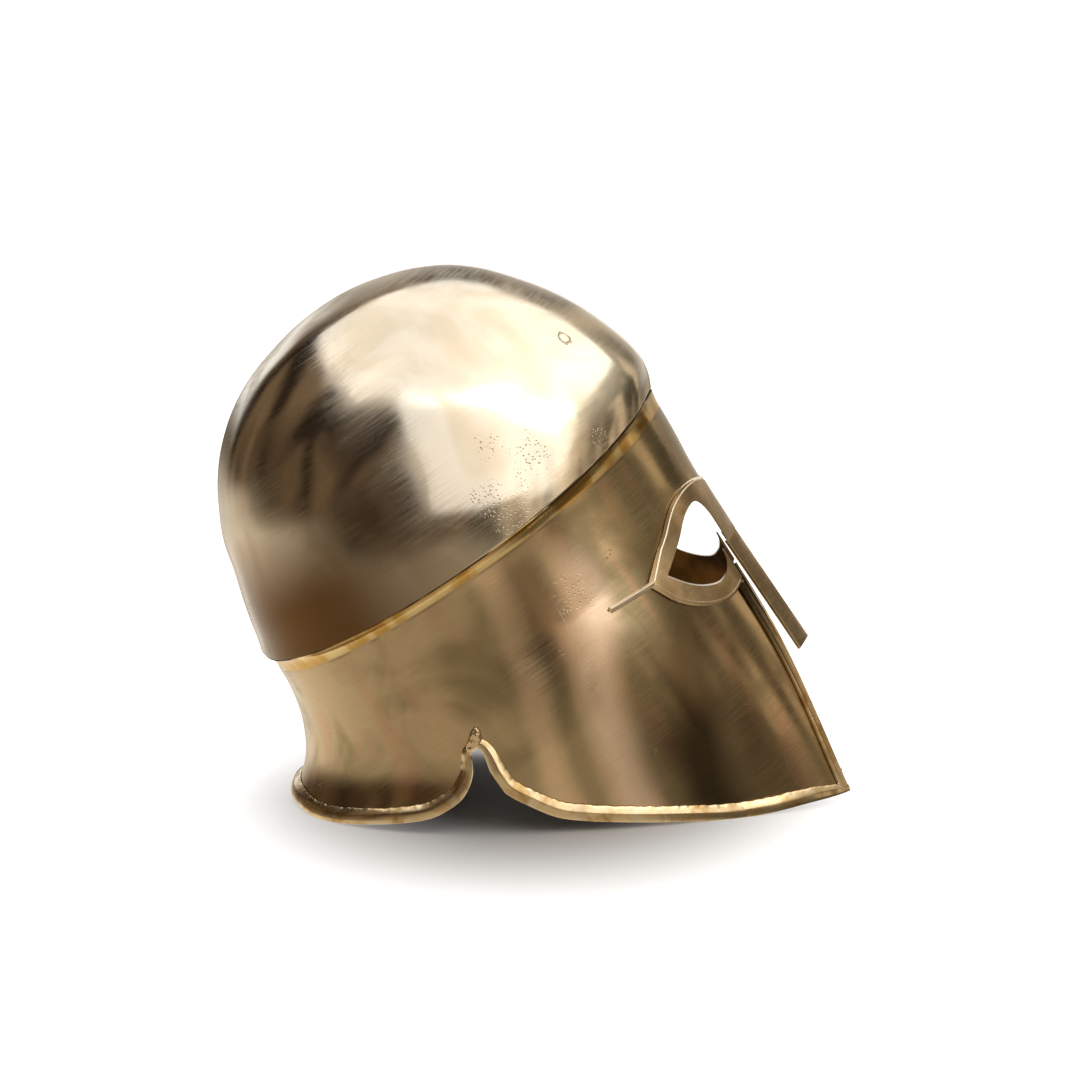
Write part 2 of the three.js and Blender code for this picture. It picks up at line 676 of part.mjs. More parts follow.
const rimProfile = [
  [-RIM_OVERHANG, GAP],
  [-RIM_OVERHANG, RIM_THICKNESS],
  [RIM_HEIGHT - RIM_CHAMFER, RIM_THICKNESS],
  [RIM_HEIGHT, GAP + EDGE_STRIP_THICKNESS / 2],
  [RIM_HEIGHT, GAP],
  [RIM_HEIGHT * 0.67, GAP],
  [RIM_HEIGHT * 0.33, GAP],
];
const edgeStripProfile = [
  [-RIM_OVERHANG, GAP],
  [-RIM_OVERHANG, GAP + EDGE_STRIP_THICKNESS],
  [EDGE_STRIP_WIDTH, GAP + EDGE_STRIP_THICKNESS],
  [EDGE_STRIP_WIDTH, GAP],
];

// Slice across the whole helmet between two places along it
const sliceAcross = (from, to) => sidePrism([
  [from, -BEYOND],
  [to, -BEYOND],
  [to, FACE_DEPTH + BEYOND],
  [from, FACE_DEPTH + BEYOND],
], -CROWN_WIDTH, CROWN_WIDTH);

function makeNeckRim() {
  const right = neckEdge.map(([depth, angle]) => [depth, 2 * Math.PI - angle]);
  const rim = makeStrip([...[...neckEdge].reverse(), ...right.slice(1)], rimProfile);
  return rim.intersect(sliceAcross(-BEYOND - NAPE_FLARE, NOTCH_AT - GAP / 2));
}

// Strip along a cheek's lower edge and up its front edge, to just below the eye frame
function makeCheekRim(side) {
  const frontStart = eyeBottom[3][1] + FRAME_WIDTH + GAP + RIM_OVERHANG;
  const front = evenly(frontStart, FACE_DEPTH, 12)
    .map((depth) => [depth, angleAside(slitHalfWidth(depth), depth)]);
  const rim = makeStrip([...cheekEdge].reverse(), rimProfile);
  const strip = makeStrip(front, edgeStripProfile);
  const leftRim = rim.add(strip).intersect(sliceAcross(NOTCH_AT + GAP / 2, CROWN_LENGTH + BEYOND));
  return side > 0 ? leftRim : leftRim.mirror([0, 1, 0]);
}

// Nasal guard: a strip folded along its middle
function makeNasal() {
  const fromDepth = SLIT_TOP_DEPTH + GAP;
  const crease = skirtPoint(SLIT_TOP_DEPTH, 0).x + FRAME_THICKNESS;
  const across = [-1, -0.6, -0.25, 0, 0.25, 0.6, 1];
  const rings = NASAL_WIDTHS.map((width, i) => {
    const depth = fromDepth + (NASAL_LENGTH * i) / (NASAL_WIDTHS.length - 1);
    const half = (NASAL_WIDTH * width) / 2;
    const point = (share, back) => new THREE.Vector3(
      crease - NASAL_FOLD * Math.abs(share) ** NASAL_FOLD_CURVE - back,
      share * half,
      -depth,
    );
    const outside = across.map((share) => point(share, 0));
    const inside = across.map((share) => point(share, NASAL_THICKNESS)).reverse();
    return [...outside, ...inside];
  });
  const middle = across.length + (across.length - 1) / 2;
  const endCentre = (points) => points[middle].clone().lerp(points[(across.length - 1) / 2], 0.5);
  return bodyFromRings(rings, [endCentre(rings[0]), endCentre(rings[rings.length - 1])]);
}

// Lowest height of a solid's points once it is leaned back
function lowestWhenLeaned(solid, lean) {
  const { vertProperties } = solid.getMesh();
  let lowest = Infinity;
  for (let i = 0; i < vertProperties.length; i += 3) {
    const height = vertProperties[i] * Math.sin(lean) + vertProperties[i + 2] * Math.cos(lean);
    lowest = Math.min(lowest, height);
  }
  return lowest;
}

// Lean at which the neck rim and the cheek rims reach equally low
function findLean(neckRim, cheekRim) {
  let [low, high] = [0, Math.PI / 2];
  for (let i = 0; i < 40; i += 1) {
    const lean = (low + high) / 2;
    const neckIsLower = lowestWhenLeaned(neckRim, lean) < lowestWhenLeaned(cheekRim, lean);
    if (neckIsLower) high = lean;
    else low = lean;
  }
  return (low + high) / 2;
}

// Everything under the ground on which the leaned helmet stands, in the wearing pose
function groundSolid(lean, height) {
  const reach = 3 * CROWN_LENGTH;
  const corner = (ahead, up) => [
    ahead * Math.cos(lean) + up * Math.sin(lean),
    ahead * Math.sin(lean) - up * Math.cos(lean),
  ];
  const outline = [
    corner(-reach, height),
    corner(reach, height),
    corner(reach, height - reach),
    corner(-reach, height - reach),
  ];
  return sidePrism(outline, -reach, reach);
}

function pieceMesh(name, solid, look) {
  const mesh = new THREE.Mesh(geometryOf(solid), new THREE.MeshStandardMaterial(look));
  mesh.name = name;
  return mesh;
}

const neckRim = makeNeckRim();
const cheekRimLeft = makeCheekRim(1);
const cheekRimRight = makeCheekRim(-1);
const lean = findLean(neckRim, cheekRimLeft);
const groundHeight = lowestWhenLeaned(neckRim, lean) + FILED_FLAT;
const ground = groundSolid(lean, groundHeight);

const leaned = new THREE.Group();
leaned.rotation.y = -lean;
leaned.add(
  pieceMesh('crown_bowl', makeCrown(), BRASS),
  pieceMesh('face_and_neck_shell', makeSkirt(), DARK_BRASS),
  pieceMesh('nasal_guard', makeNasal(), DARK_BRASS),
  pieceMesh('eye_rim_left', makeEyeFrame(1), DARK_BRASS),
  pieceMesh('eye_rim_right', makeEyeFrame(-1), DARK_BRASS),
  pieceMesh('neck_rim', neckRim.subtract(ground), WARM_BRASS),
  pieceMesh('cheek_rim_left', cheekRimLeft.subtract(ground), WARM_BRASS),
  pieceMesh('cheek_rim_right', cheekRimRight.subtract(ground), WARM_BRASS),
);

const group = new THREE.Group();
group.add(leaned);
group.updateMatrixWorld(true);
const box = new THREE.Box3().setFromObject(leaned, true);
const middle = box.getCenter(new THREE.Vector3());
leaned.position.set(-middle.x, -middle.y, -box.min.z);
group.updateMatrixWorld(true);

export default group;
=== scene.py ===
"""Corinthian helmet in polished sheet brass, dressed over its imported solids.

The form is worked out in the wearing pose, in millimetres: x forward, y to the wearer's left, z up, with
the origin at the back corner of the crown's edge. Depths are measured down from that corner. Each finished
piece is then leaned back and set down where the solids stand.
"""

import logging
import math
from contextlib import contextmanager
from dataclasses import dataclass
from enum import Enum
from typing import Callable, Iterable, Iterator, Sequence

import bpy
from mathutils import Matrix, Vector, noise


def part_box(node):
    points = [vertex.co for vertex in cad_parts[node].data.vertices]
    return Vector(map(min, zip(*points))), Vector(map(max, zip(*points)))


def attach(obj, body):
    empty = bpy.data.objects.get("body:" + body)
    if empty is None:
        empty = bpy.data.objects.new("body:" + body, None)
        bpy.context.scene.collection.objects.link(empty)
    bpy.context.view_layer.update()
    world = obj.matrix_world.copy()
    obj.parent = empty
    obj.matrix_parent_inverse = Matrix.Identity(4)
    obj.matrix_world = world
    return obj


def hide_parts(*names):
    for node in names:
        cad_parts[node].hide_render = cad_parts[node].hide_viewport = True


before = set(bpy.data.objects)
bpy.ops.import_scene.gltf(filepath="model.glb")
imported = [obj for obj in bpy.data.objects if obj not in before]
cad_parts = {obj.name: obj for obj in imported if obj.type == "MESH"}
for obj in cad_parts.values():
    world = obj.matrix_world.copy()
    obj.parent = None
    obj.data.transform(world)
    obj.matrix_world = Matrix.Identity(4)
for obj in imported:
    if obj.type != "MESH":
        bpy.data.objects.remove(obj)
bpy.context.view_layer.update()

log = logging.getLogger("helmet")
MM = 0.001
# How far the cutting solids reach past the helmet, in millimetres
CUT_BEYOND = 80.0
# Edges that bend more than this are rounded
SHARP_BEND = math.radians(50)

Place = tuple[float, float]
Row = tuple[float, ...]


def clamp(value: float, low: float = 0.0, high: float = 1.0) -> float:
    """Keep a value between two others."""
    return max(low, min(high, value))


def evenly(start: float, end: float, steps: int) -> list[float]:
    """Give steps + 1 evenly spaced values."""
    return [start + (end - start) * i / steps for i in range(steps + 1)]


def cubic_column(rows: Sequence[Row], column: int, at: float) -> float:
    """Smooth value of one column of a table.

    Args:
        rows: Rows whose first number rises.
        column: Column to read.
        at: Place along the first column.

    Returns:
        Value of the cubic through the rows.
    """
    last = len(rows) - 1
    if at <= rows[0][0]:
        return rows[0][column]
    if at >= rows[last][0]:
        return rows[last][column]
    i = next(n for n in range(last) if rows[n + 1][0] >= at)

    def slope(j: int) -> float:
        """Slope at a row, from its neighbours."""
        low, high = rows[max(j - 1, 0)], rows[min(j + 1, last)]
        return (high[column] - low[column]) / (high[0] - low[0])

    span = rows[i + 1][0] - rows[i][0]
    t = (at - rows[i][0]) / span
    start = rows[i][column] * (2 * t**3 - 3 * t**2 + 1)
    end = rows[i + 1][column] * (3 * t**2 - 2 * t**3)
    leave = slope(i) * span * (t**3 - 2 * t**2 + t)
    arrive = slope(i + 1) * span * (t**3 - t**2)
    return start + end + leave + arrive


def smooth_outline(points: Sequence[Place], steps: int) -> list[Place]:
    """Evenly spaced points on a smooth curve through an outline.

    Args:
        points: Corners that the curve passes through.
        steps: How many stretches to give.

    Returns:
        steps + 1 points, evenly spaced along the curve.
    """
    dense = []
    last = len(points) - 1
    for i in range(last):
        a, b = points[max(i - 1, 0)], points[i]
        c, d = points[i + 1], points[min(i + 2, last)]
        for t in evenly(0, 1, 40)[: 41 if i == last - 1 else 40]:
            weights = (
                0.5 * (-t + 2 * t**2 - t**3),
                0.5 * (2 - 5 * t**2 + 3 * t**3),
                0.5 * (t + 4 * t**2 - 3 * t**3),
                0.5 * (-(t**2) + t**3),
            )
            corners = (a, b, c, d)
            dense.append(tuple(sum(w * p[k] for w, p in zip(weights, corners)) for k in (0, 1)))
    return spaced(dense, [math.dist(p, q) for p, q in zip(dense, dense[1:])], steps)


def spaced(points: Sequence[Row], lengths: Sequence[float], steps: int) -> list[Row]:
    """Points at even distances along a chain.

    Args:
        points: Points of the chain.
        lengths: Length of each stretch between them.
        steps: How many stretches to give.

    Returns:
        steps + 1 points.
    """
    run = [0.0]
    for length in lengths:
        run.append(run[-1] + length)
    found = []
    i = 1
    for goal in evenly(0, run[-1], steps):
        while i < len(run) - 1 and run[i] < goal:
            i += 1
        share = (goal - run[i - 1]) / max(run[i] - run[i - 1], 1e-9)
        low, high = points[i - 1], points[i]
        found.append(tuple(low[k] + (high[k] - low[k]) * share for k in range(len(low))))
    return found


@dataclass(frozen=True)
class HelmetForm:
    """Sizes and sections of the helmet, in millimetres, as in the solids."""

    wall: float = 1.2
    gap: float = 0.3
    lean: float = math.radians(34.319877)
    crown_length: float = 236.0
    crown_width: float = 192.0
    crown_height: float = 126.0
    crown_edge_sag: float = 11.5
    ridge_height: float = 3.0
    ridge_reach: float = 26.0
    brow_crease_end: float = 1.5
    nape_crease_start: float = 0.4
    step_width: float = 4.5
    step_back_share: float = 0.67
    step_front_share: float = 0.2
    step_height: float = 8.0
    sag_reach: float = 60.0
    widest_at: float = 100.0
    chin_width: float = 106.0
    face_depth: float = 220.5
    face_rake: float = 22.0
    nape_depth: float = 65.5
    nape_flare: float = 27.5
    side_flare: float = 4.0
    flare_deepening: float = 1.1
    neck_depth: float = 102.5
    notch_at: float = 73.0
    notch_depth: float = 85.0
    slit_top_width: float = 57.0
    slit_bottom_width: float = 36.0
    slit_taper_curve: float = 1.6
    slit_top_depth: float = 81.5
    eye_length: float = 32.5
    eye_height: float = 38.5
    eye_corner_at: float = 193.4
    eye_corner_depth: float = 73.0
    back_fullness: float = 2.3
    front_fullness: float = 2.0
    crown_top_at: float = 0.527

    # Height share, back share, front share and width share of the crown, bottom to top
    crown_rows: tuple[Row, ...] = (
        (0, 0, 1, 1),
        (0.06, 0.01, 1.014, 1.004),
        (0.13, 0.019, 1.02, 1.004),
        (0.22, 0.033, 1.013, 0.99),
        (0.33, 0.052, 0.995, 0.958),
        (0.45, 0.07, 0.969, 0.912),
        (0.56, 0.099, 0.935, 0.85),
        (0.67, 0.136, 0.893, 0.775),
        (0.77, 0.184, 0.848, 0.68),
        (0.86, 0.246, 0.79, 0.555),
        (0.93, 0.321, 0.717, 0.42),
        (0.975, 0.408, 0.64, 0.265),
        (0.995, 0.472, 0.58, 0.125),
    )
    # Depth share and outward share of the nape, seen from the side
    nape_rows: tuple[Row, ...] = (
        (0.12, 0),
        (0.34, 0.05),
        (0.55, 0.17),
        (0.71, 0.34),
        (0.82, 0.5),
        (0.9, 0.68),
        (0.95, 0.83),
        (1, 1),
        (1.06, 1.15),
        (1.15, 1.3),
        (1.6, 1.5),
        (3.4, 1.5),
    )
    # Depth share and rake share of the brow and chin, seen from the side
    face_rows: tuple[Row, ...] = (
        (0, 0),
        (0.1, 0.06),
        (0.2, 0.16),
        (0.4, 0.225),
        (0.55, 0.26),
        (0.68, 0.36),
        (0.8, 0.54),
        (0.9, 0.74),
        (1.04, 1.05),
    )
    # Depth share and share of the narrowing to the chin, seen from the front
    narrowing_rows: tuple[Row, ...] = (
        (0.04, 0),
        (0.1, 0.025),
        (0.25, 0.05),
        (0.35, 0.065),
        (0.42, 0.1),
        (0.5, 0.18),
        (0.6, 0.31),
        (0.72, 0.52),
        (0.86, 0.77),
        (1.04, 1.04),
    )
    # Along share, drop share and rise share of the neck guard's lower edge, seen from the side
    neck_edge_rows: tuple[Row, ...] = (
        (0, 0, 0),
        (0.124, 0.33, 0),
        (0.356, 0.66, 0),
        (0.6, 0.95, 0),
        (0.74, 1, 0),
        (0.83, 1, 0.08),
        (0.91, 1, 0.38),
        (0.953, 1, 0.74),
        (0.968, 1, 0.92),
        (1, 1, 1),
    )
    # Along share and drop share of a cheek's lower edge, seen from the side
    cheek_edge_rows: tuple[Row, ...] = (
        (0, 0),
        (0.02, 0.012),
        (0.018, 0.05),
        (0.002, 0.12),
        (0.004, 0.188),
        (0.045, 0.2745),
        (0.105, 0.372),
        (0.199, 0.459),
        (0.342, 0.5756),
        (0.47, 0.675),
        (0.6, 0.773),
        (0.72, 0.845),
        (0.86, 0.917),
        (1, 1),
    )
    # Along share and drop share of the eye opening, from its outer corner over the top and back
    eye_top_rows: tuple[Row, ...] = (
        (0, 0),
        (0.23, -0.13),
        (0.45, -0.262),
        (0.62, -0.385),
        (0.76, -0.458),
        (0.9, -0.475),
        (0.965, -0.39),
        (0.995, -0.21),
        (0.99, 0.03),
    )
    eye_bottom_rows: tuple[Row, ...] = (
        (0.86, 0.25),
        (0.83, 0.37),
        (0.73, 0.48),
        (0.58, 0.515),
        (0.39, 0.43),
        (0.19, 0.257),
        (0, 0),
    )

    @property
    def middle(self) -> float:
        """Place along the helmet halfway down the crown's edge."""
        return self.crown_length / 2

    def oval(self, back: float, front: float, widest: float, half: float, angle: float) -> Place:
        """Point of an oval section; angle 0 is the front, a quarter turn the wearer's left."""
        ahead, aside = math.cos(angle), math.sin(angle)
        power = 2 / (self.front_fullness if ahead >= 0 else self.back_fullness)
        reach = front - widest if ahead >= 0 else widest - back
        along = widest + reach * math.copysign(abs(ahead) ** power, ahead)
        return along, half * math.copysign(abs(aside) ** power, aside)

    def ridge(self, aside: float) -> float:
        """Height of the crease over the middle, at a distance to the side."""
        return self.ridge_height * max(0.0, 1 - abs(aside) / self.ridge_reach) ** 2

    def sag(self, angle: float) -> float:
        """How far the crown's edge dips at an angle."""
        return self.crown_edge_sag * abs(math.sin(angle)) ** 1.5

    def crown_row(self, place: float) -> Row:
        """Row of the crown's table between two rows, by a curve through the four nearest."""
        last = len(self.crown_rows)
        top = (1.0, self.crown_top_at, self.crown_top_at, 0.0)

        def row(i: int) -> Row:
            """Row at an index, the top beyond the last one."""
            return top if i >= last else self.crown_rows[max(i, 0)]

        i = min(int(place), last - 1)
        t = place - i
        found = []
        for a, b, c, d in zip(row(i - 1), row(i), row(i + 1), row(i + 2)):
            bend = 2 * a - 5 * b + 4 * c - d
            found.append(b + 0.5 * t * (c - a + t * (bend + t * (3 * (b - c) + d - a))))
        return tuple(found)

    def crown_point(self, place: float, angle: float) -> Vector:
        """Point of the crown's outside.

        Args:
            place: Row of the crown's table, 0 at its edge.
            angle: Angle round the helmet.

        Returns:
            Point in millimetres, in the wearing pose.
        """
        height_share, back, front, width = self.crown_row(place)
        room = 1 - self.ridge_height / self.middle
        ends = [self.middle + (s * self.crown_length - self.middle) * room for s in (back, front)]
        near_top = clamp(place - (len(self.crown_rows) - 1))
        top_at = self.middle + (self.crown_top_at * self.crown_length - self.middle) * room
        widest = self.middle + (top_at - self.middle) * near_top
        x, y = self.oval(ends[0], ends[1], widest, width * self.crown_width / 2, angle)
        height = height_share * self.crown_height * room
        outward = Vector((x - self.middle, height)).normalized()
        ridge = self.ridge(y)
        sag = self.sag(angle) * (1 - height_share) ** 2
        return Vector((x + ridge * outward.x, y, height + ridge * outward.y - sag))

    def crease(self, depth: float, ahead: bool) -> float:
        """Share of the crease that is left at a depth, on the brow or down the nape."""
        full = self.slit_top_depth if ahead else self.nape_crease_start * self.nape_depth
        gone = self.brow_crease_end * self.slit_top_depth if ahead else self.nape_depth
        return clamp((gone - depth) / (gone - full))

    def flare(self, depth: float, angle: float) -> float:
        """How far the neck guard sweeps out."""
        ahead = max(0.0, math.cos(angle))
        behind = max(0.0, -math.cos(angle))
        side = min(1.0, self.flare_deepening * math.sin(angle) ** 2)
        edge = self.nape_depth + (self.neck_depth - self.nape_depth) * side
        sweep = self.side_flare * max(0.0, 1 - 2 * ahead)
        sweep += (self.nape_flare - self.side_flare) * behind**1.5
        return sweep * cubic_column(self.nape_rows, 1, depth / edge)

    def skirt_point(self, depth: float, angle: float) -> Vector:
        """Point of the outside of face, cheeks and neck guard.

        Args:
            depth: Depth below the crown's edge.
            angle: Angle round the helmet.

        Returns:
            Point in millimetres, in the wearing pose.
        """
        down = min(depth / self.step_height, 1.0)
        step = self.step_width * (1 - (1 - down) ** 2)
        share = depth / self.face_depth
        side = self.crown_width / 2 - step
        narrowing = cubic_column(self.narrowing_rows, 1, share)
        rake = self.face_rake * cubic_column(self.face_rows, 1, share)
        levelling = min(depth / self.sag_reach, 1.0)
        back = self.ridge_height * self.crease(depth, False) + step * self.step_back_share
        front = self.crown_length - self.ridge_height - step * self.step_front_share - rake
        widest = self.middle + (self.widest_at - self.middle) * levelling
        half = side + (self.chin_width / 2 - side) * narrowing
        x, y = self.oval(back, front, widest, half, angle)
        ahead = math.cos(angle) >= 0
        ridge = self.ridge(y) * (1 if ahead else -1) * self.crease(depth, ahead)
        flare = self.flare(depth, angle)
        sag = self.sag(angle) * max(0.0, 1 - depth / self.sag_reach) ** 2
        return Vector((
            x + ridge + flare * math.cos(angle),
            y + flare * math.sin(angle),
            -self.gap - depth - sag,
        ))

    def skirt_normal(self, depth: float, angle: float) -> Vector:
        """Outward direction of the skirt's outside."""
        near, turn = 0.01, 0.0005
        up = self.skirt_point(depth + near, angle) - self.skirt_point(max(depth - near, 0), angle)
        around = self.skirt_point(depth, angle + turn) - self.skirt_point(depth, angle - turn)
        return -around.cross(up).normalized()

    def skirt_layer(self, depth: float, angle: float, out: float) -> Vector:
        """Point at a distance out from the skirt's outside."""
        return self.skirt_point(depth, angle) + self.skirt_normal(depth, angle) * out

    def slit_half(self, depth: float) -> float:
        """Half the width of the slit down the face."""
        share = clamp((depth - self.slit_top_depth) / (self.face_depth - self.slit_top_depth))
        widths = self.slit_top_width, self.slit_bottom_width
        return (widths[0] + (widths[1] - widths[0]) * share**self.slit_taper_curve) / 2

    @staticmethod
    def turning_angle(low: float, high: float, is_before: Callable[[float], bool]) -> float:
        """Angle at which a test of the angle turns from true to false."""
        for _ in range(30):
            angle = (low + high) / 2
            if is_before(angle):
                low = angle
            else:
                high = angle
        return (low + high) / 2

    def angle_at(self, along: float, depth: float) -> float:
        """Angle of the skirt's outside at a place along the helmet, on the wearer's left."""
        return self.turning_angle(0, math.pi, lambda a: self.skirt_point(depth, a).x > along)

    def angle_aside(self, aside: float, depth: float) -> float:
        """Angle of the skirt's outside at a distance to the left of the middle, on the face."""
        return self.turning_angle(0, math.pi / 2, lambda a: self.skirt_point(depth, a).y < aside)

    def places_along(self, outline: Sequence[Place], steps: int) -> list[Place]:
        """Evenly spaced (depth, angle) places along an edge seen from the side.

        Args:
            outline: (along, depth) points of the edge.
            steps: How many stretches to give.

        Returns:
            Places on the wearer's left.
        """
        edge = smooth_outline(outline, 400)
        places = [(depth, self.angle_at(along, depth)) for along, depth in edge]
        points = [self.skirt_point(*place) for place in places]
        return spaced(places, [(p - q).length for p, q in zip(points, points[1:])], steps)

    def neck_edge(self, steps: int) -> list[Place]:
        """Places along the neck guard's lower edge, from the nape to the left notch."""
        nape = self.skirt_point(self.nape_depth, math.pi).x
        drop = self.neck_depth - self.nape_depth
        rise = self.neck_depth - self.notch_depth
        return self.places_along(
            [
                (nape + a * (self.notch_at - nape), self.nape_depth + d * drop - r * rise)
                for a, d, r in self.neck_edge_rows
            ],
            steps,
        )

    def cheek_edge(self, steps: int) -> list[Place]:
        """Places along the left cheek's lower edge, from the notch to the tip."""
        tip_angle = self.angle_aside(self.slit_half(self.face_depth), self.face_depth)
        tip = self.skirt_point(self.face_depth, tip_angle).x
        return self.places_along(
            [
                (
                    self.notch_at + a * (tip - self.notch_at),
                    self.notch_depth + d * (self.face_depth - self.notch_depth),
                )
                for a, d in self.cheek_edge_rows
            ],
            steps,
        )

    def eye_outline(self, rows: Sequence[Row], steps: int) -> list[Place]:
        """(along, depth) points of one lid of the eye opening."""
        corner = self.eye_corner_at, self.eye_corner_depth
        return smooth_outline(
            [(corner[0] + a * self.eye_length, corner[1] + d * self.eye_height) for a, d in rows],
            steps,
        )


FORM = HelmetForm()


class Bench:
    """Modelling steps that the pieces go through."""

    @staticmethod
    def clear() -> None:
        """Deselect everything, the solids included."""
        if bpy.context.object and bpy.context.object.mode != "OBJECT":
            bpy.ops.object.mode_set(mode="OBJECT")
        bpy.ops.object.select_all(action="DESELECT")

    @staticmethod
    def hold(piece: bpy.types.Object) -> None:
        """Select one piece alone and make it the active one."""
        Bench.clear()
        piece.select_set(True)
        bpy.context.view_layer.objects.active = piece

    @staticmethod
    @contextmanager
    def editing() -> Iterator[None]:
        """Edit mode on the active piece, with all of its mesh selected at first."""
        bpy.ops.object.mode_set(mode="EDIT")
        bpy.ops.mesh.select_all(action="SELECT")
        yield
        bpy.ops.object.mode_set(mode="OBJECT")

    @staticmethod
    def surface(
        name: str, columns: int, rows: int, shape: Callable[[float, float], Vector]
    ) -> bpy.types.Object:
        """Add a grid and draw it over a surface, welded where its borders meet.

        Args:
            name: Name of the new object.
            columns: Faces across.
            rows: Faces along.
            shape: Point of the surface at two shares, in millimetres.

        Returns:
            The new sheet, in metres, in the wearing pose.
        """
        Bench.clear()
        bpy.ops.mesh.primitive_grid_add(x_subdivisions=columns, y_subdivisions=rows, size=1)
        piece = bpy.context.object
        piece.name = name
        for vertex in piece.data.vertices:
            vertex.co = shape(vertex.co.x + 0.5, vertex.co.y + 0.5) * MM
        with Bench.editing():
            bpy.ops.mesh.remove_doubles(threshold=1e-6)
        return piece

    @staticmethod
    def turn_out(piece: bpy.types.Object, core: Callable[[Vector], Vector]) -> None:
        """Turn a sheet's faces away from what it goes round.

        Args:
            piece: Sheet whose faces all point the same way.
            core: Point inside the form, for a point of the sheet.
        """
        away = sum(p.normal.dot(p.center - core(p.center)) * p.area for p in piece.data.polygons)
        if away < 0:
            Bench.hold(piece)
            with Bench.editing():
                bpy.ops.mesh.flip_normals()

    @staticmethod
    def apply(piece: bpy.types.Object, kind: str, **settings: object) -> None:
        """Add one modifier to a piece and apply it.

        Args:
            piece: Piece to change.
            kind: Type of the modifier.
            settings: Its settings.
        """
        Bench.hold(piece)
        modifier = piece.modifiers.new(kind.lower(), kind)
        for name, value in settings.items():
            setattr(modifier, name, value)
        bpy.ops.object.modifier_apply(modifier=modifier.name)

    @staticmethod
    def thicken(piece: bpy.types.Object, wall: float, inner_slot: int = 0) -> None:
        """Give a sheet its wall, inward from its outside.

        Args:
            piece: Sheet whose faces point out.
            wall: Thickness in millimetres.
            inner_slot: How many material slots further on the inner faces lie.
        """
        for _ in range(inner_slot and inner_slot + 1):
            piece.data.materials.append(None)
        Bench.apply(
            piece, "SOLIDIFY", thickness=wall * MM, offset=-1, use_even_offset=False,
            material_offset=inner_slot, material_offset_rim=0,
        )

    @staticmethod
    def round_edges(
        piece: bpy.types.Object, width: float, where: Callable[[Vector], bool] = lambda _: True
    ) -> None:
        """Round the sharp edges that lie where a test says.

        Args:
            piece: Closed piece.
            width: Width of the rounding in millimetres.
            where: Test of an edge's ends.
        """
        Bench.hold(piece)
        bpy.ops.object.mode_set(mode="EDIT")
        bpy.ops.mesh.select_mode(type="EDGE")
        bpy.ops.mesh.select_all(action="DESELECT")
        bpy.ops.mesh.edges_select_sharp(sharpness=SHARP_BEND)
        bpy.ops.object.mode_set(mode="OBJECT")
        mesh = piece.data
        sharp = [
            edge.select and all(where(mesh.vertices[i].co) for i in edge.vertices) for edge in mesh.edges
        ]
        for elements in (mesh.vertices, mesh.edges, mesh.polygons):
            elements.foreach_set("select", [False] * len(elements))
        mesh.edges.foreach_set("select", sharp)
        bpy.ops.object.mode_set(mode="EDIT")
        bpy.ops.mesh.bevel(offset=width * MM, segments=2, affect="EDGES")
        bpy.ops.object.mode_set(mode="OBJECT")

    @staticmethod
    def prism(outline: Iterable[Vector], sweep: Vector) -> bpy.types.Object:
        """Solid swept from a flat outline.

        Args:
            outline: Corners in millimetres.
            sweep: How far and which way it is swept, in millimetres.

        Returns:
            Closed prism with its faces pointing out.
        """
        corners = list(outline)
        Bench.clear()
        bpy.ops.mesh.primitive_circle_add(vertices=len(corners), fill_type="NGON")
        piece = bpy.context.object
        for vertex, corner in zip(piece.data.vertices, corners):
            vertex.co = corner * MM
        with Bench.editing():
            bpy.ops.mesh.extrude_region_move(TRANSFORM_OT_translate={"value": sweep * MM})
            bpy.ops.mesh.select_all(action="SELECT")
            bpy.ops.mesh.normals_make_consistent(inside=False)
        return piece

    @staticmethod
    def cut(piece: bpy.types.Object, tool: bpy.types.Object, keep_inside: bool = False) -> None:
        """Cut a piece with a solid, which is used up.

        Args:
            piece: Piece to cut.
            tool: Cutting solid.
            keep_inside: Keep what lies inside the tool instead of what lies outside.
        """
        operation = "INTERSECT" if keep_inside else "DIFFERENCE"
        Bench.apply(piece, "BOOLEAN", object=tool, operation=operation, solver="EXACT")
        bpy.data.objects.remove(tool)

    @staticmethod
    def slice_off(piece: bpy.types.Object, at: Vector, toward: Vector) -> None:
        """Cut off what lies beyond a plane and close the cut.

        Args:
            piece: Closed piece.
            at: Point of the plane, in metres.
            toward: Direction of the part that is cut off.
        """
        Bench.hold(piece)
        with Bench.editing():
            bpy.ops.mesh.bisect(plane_co=at, plane_no=toward, use_fill=True, clear_outer=True)

    @staticmethod
    def close(piece: bpy.types.Object) -> None:
        """Fill a strip's open ends and turn its faces out."""
        Bench.hold(piece)
        with Bench.editing():
            bpy.ops.mesh.fill_holes(sides=0)
            bpy.ops.mesh.select_all(action="SELECT")
            bpy.ops.mesh.normals_make_consistent(inside=False)

    @staticmethod
    def join(pieces: Sequence[bpy.types.Object]) -> bpy.types.Object:
        """Join pieces into the first one."""
        Bench.hold(pieces[0])
        for piece in pieces:
            piece.select_set(True)
        if len(pieces) > 1:
            bpy.ops.object.join()
        return pieces[0]

    @staticmethod
    def mirrored(piece: bpy.types.Object, name: str) -> bpy.types.Object:
        """Copy a left piece to the wearer's right, with its own mesh."""
        Bench.hold(piece)
        bpy.ops.object.duplicate()
        copy = bpy.context.object
        copy.name = name
        copy.data.transform(Matrix.Scale(-1, 4, (0, 1, 0)))
        with Bench.editing():
            bpy.ops.mesh.flip_normals()
        return copy

    @staticmethod
    def smooth(piece: bpy.types.Object, sharpest: float = 32.0) -> None:
        """Shade a piece smooth but for its edges sharper than an angle in degrees."""
        Bench.hold(piece)
        bpy.ops.object.shade_smooth_by_angle(angle=math.radians(sharpest))


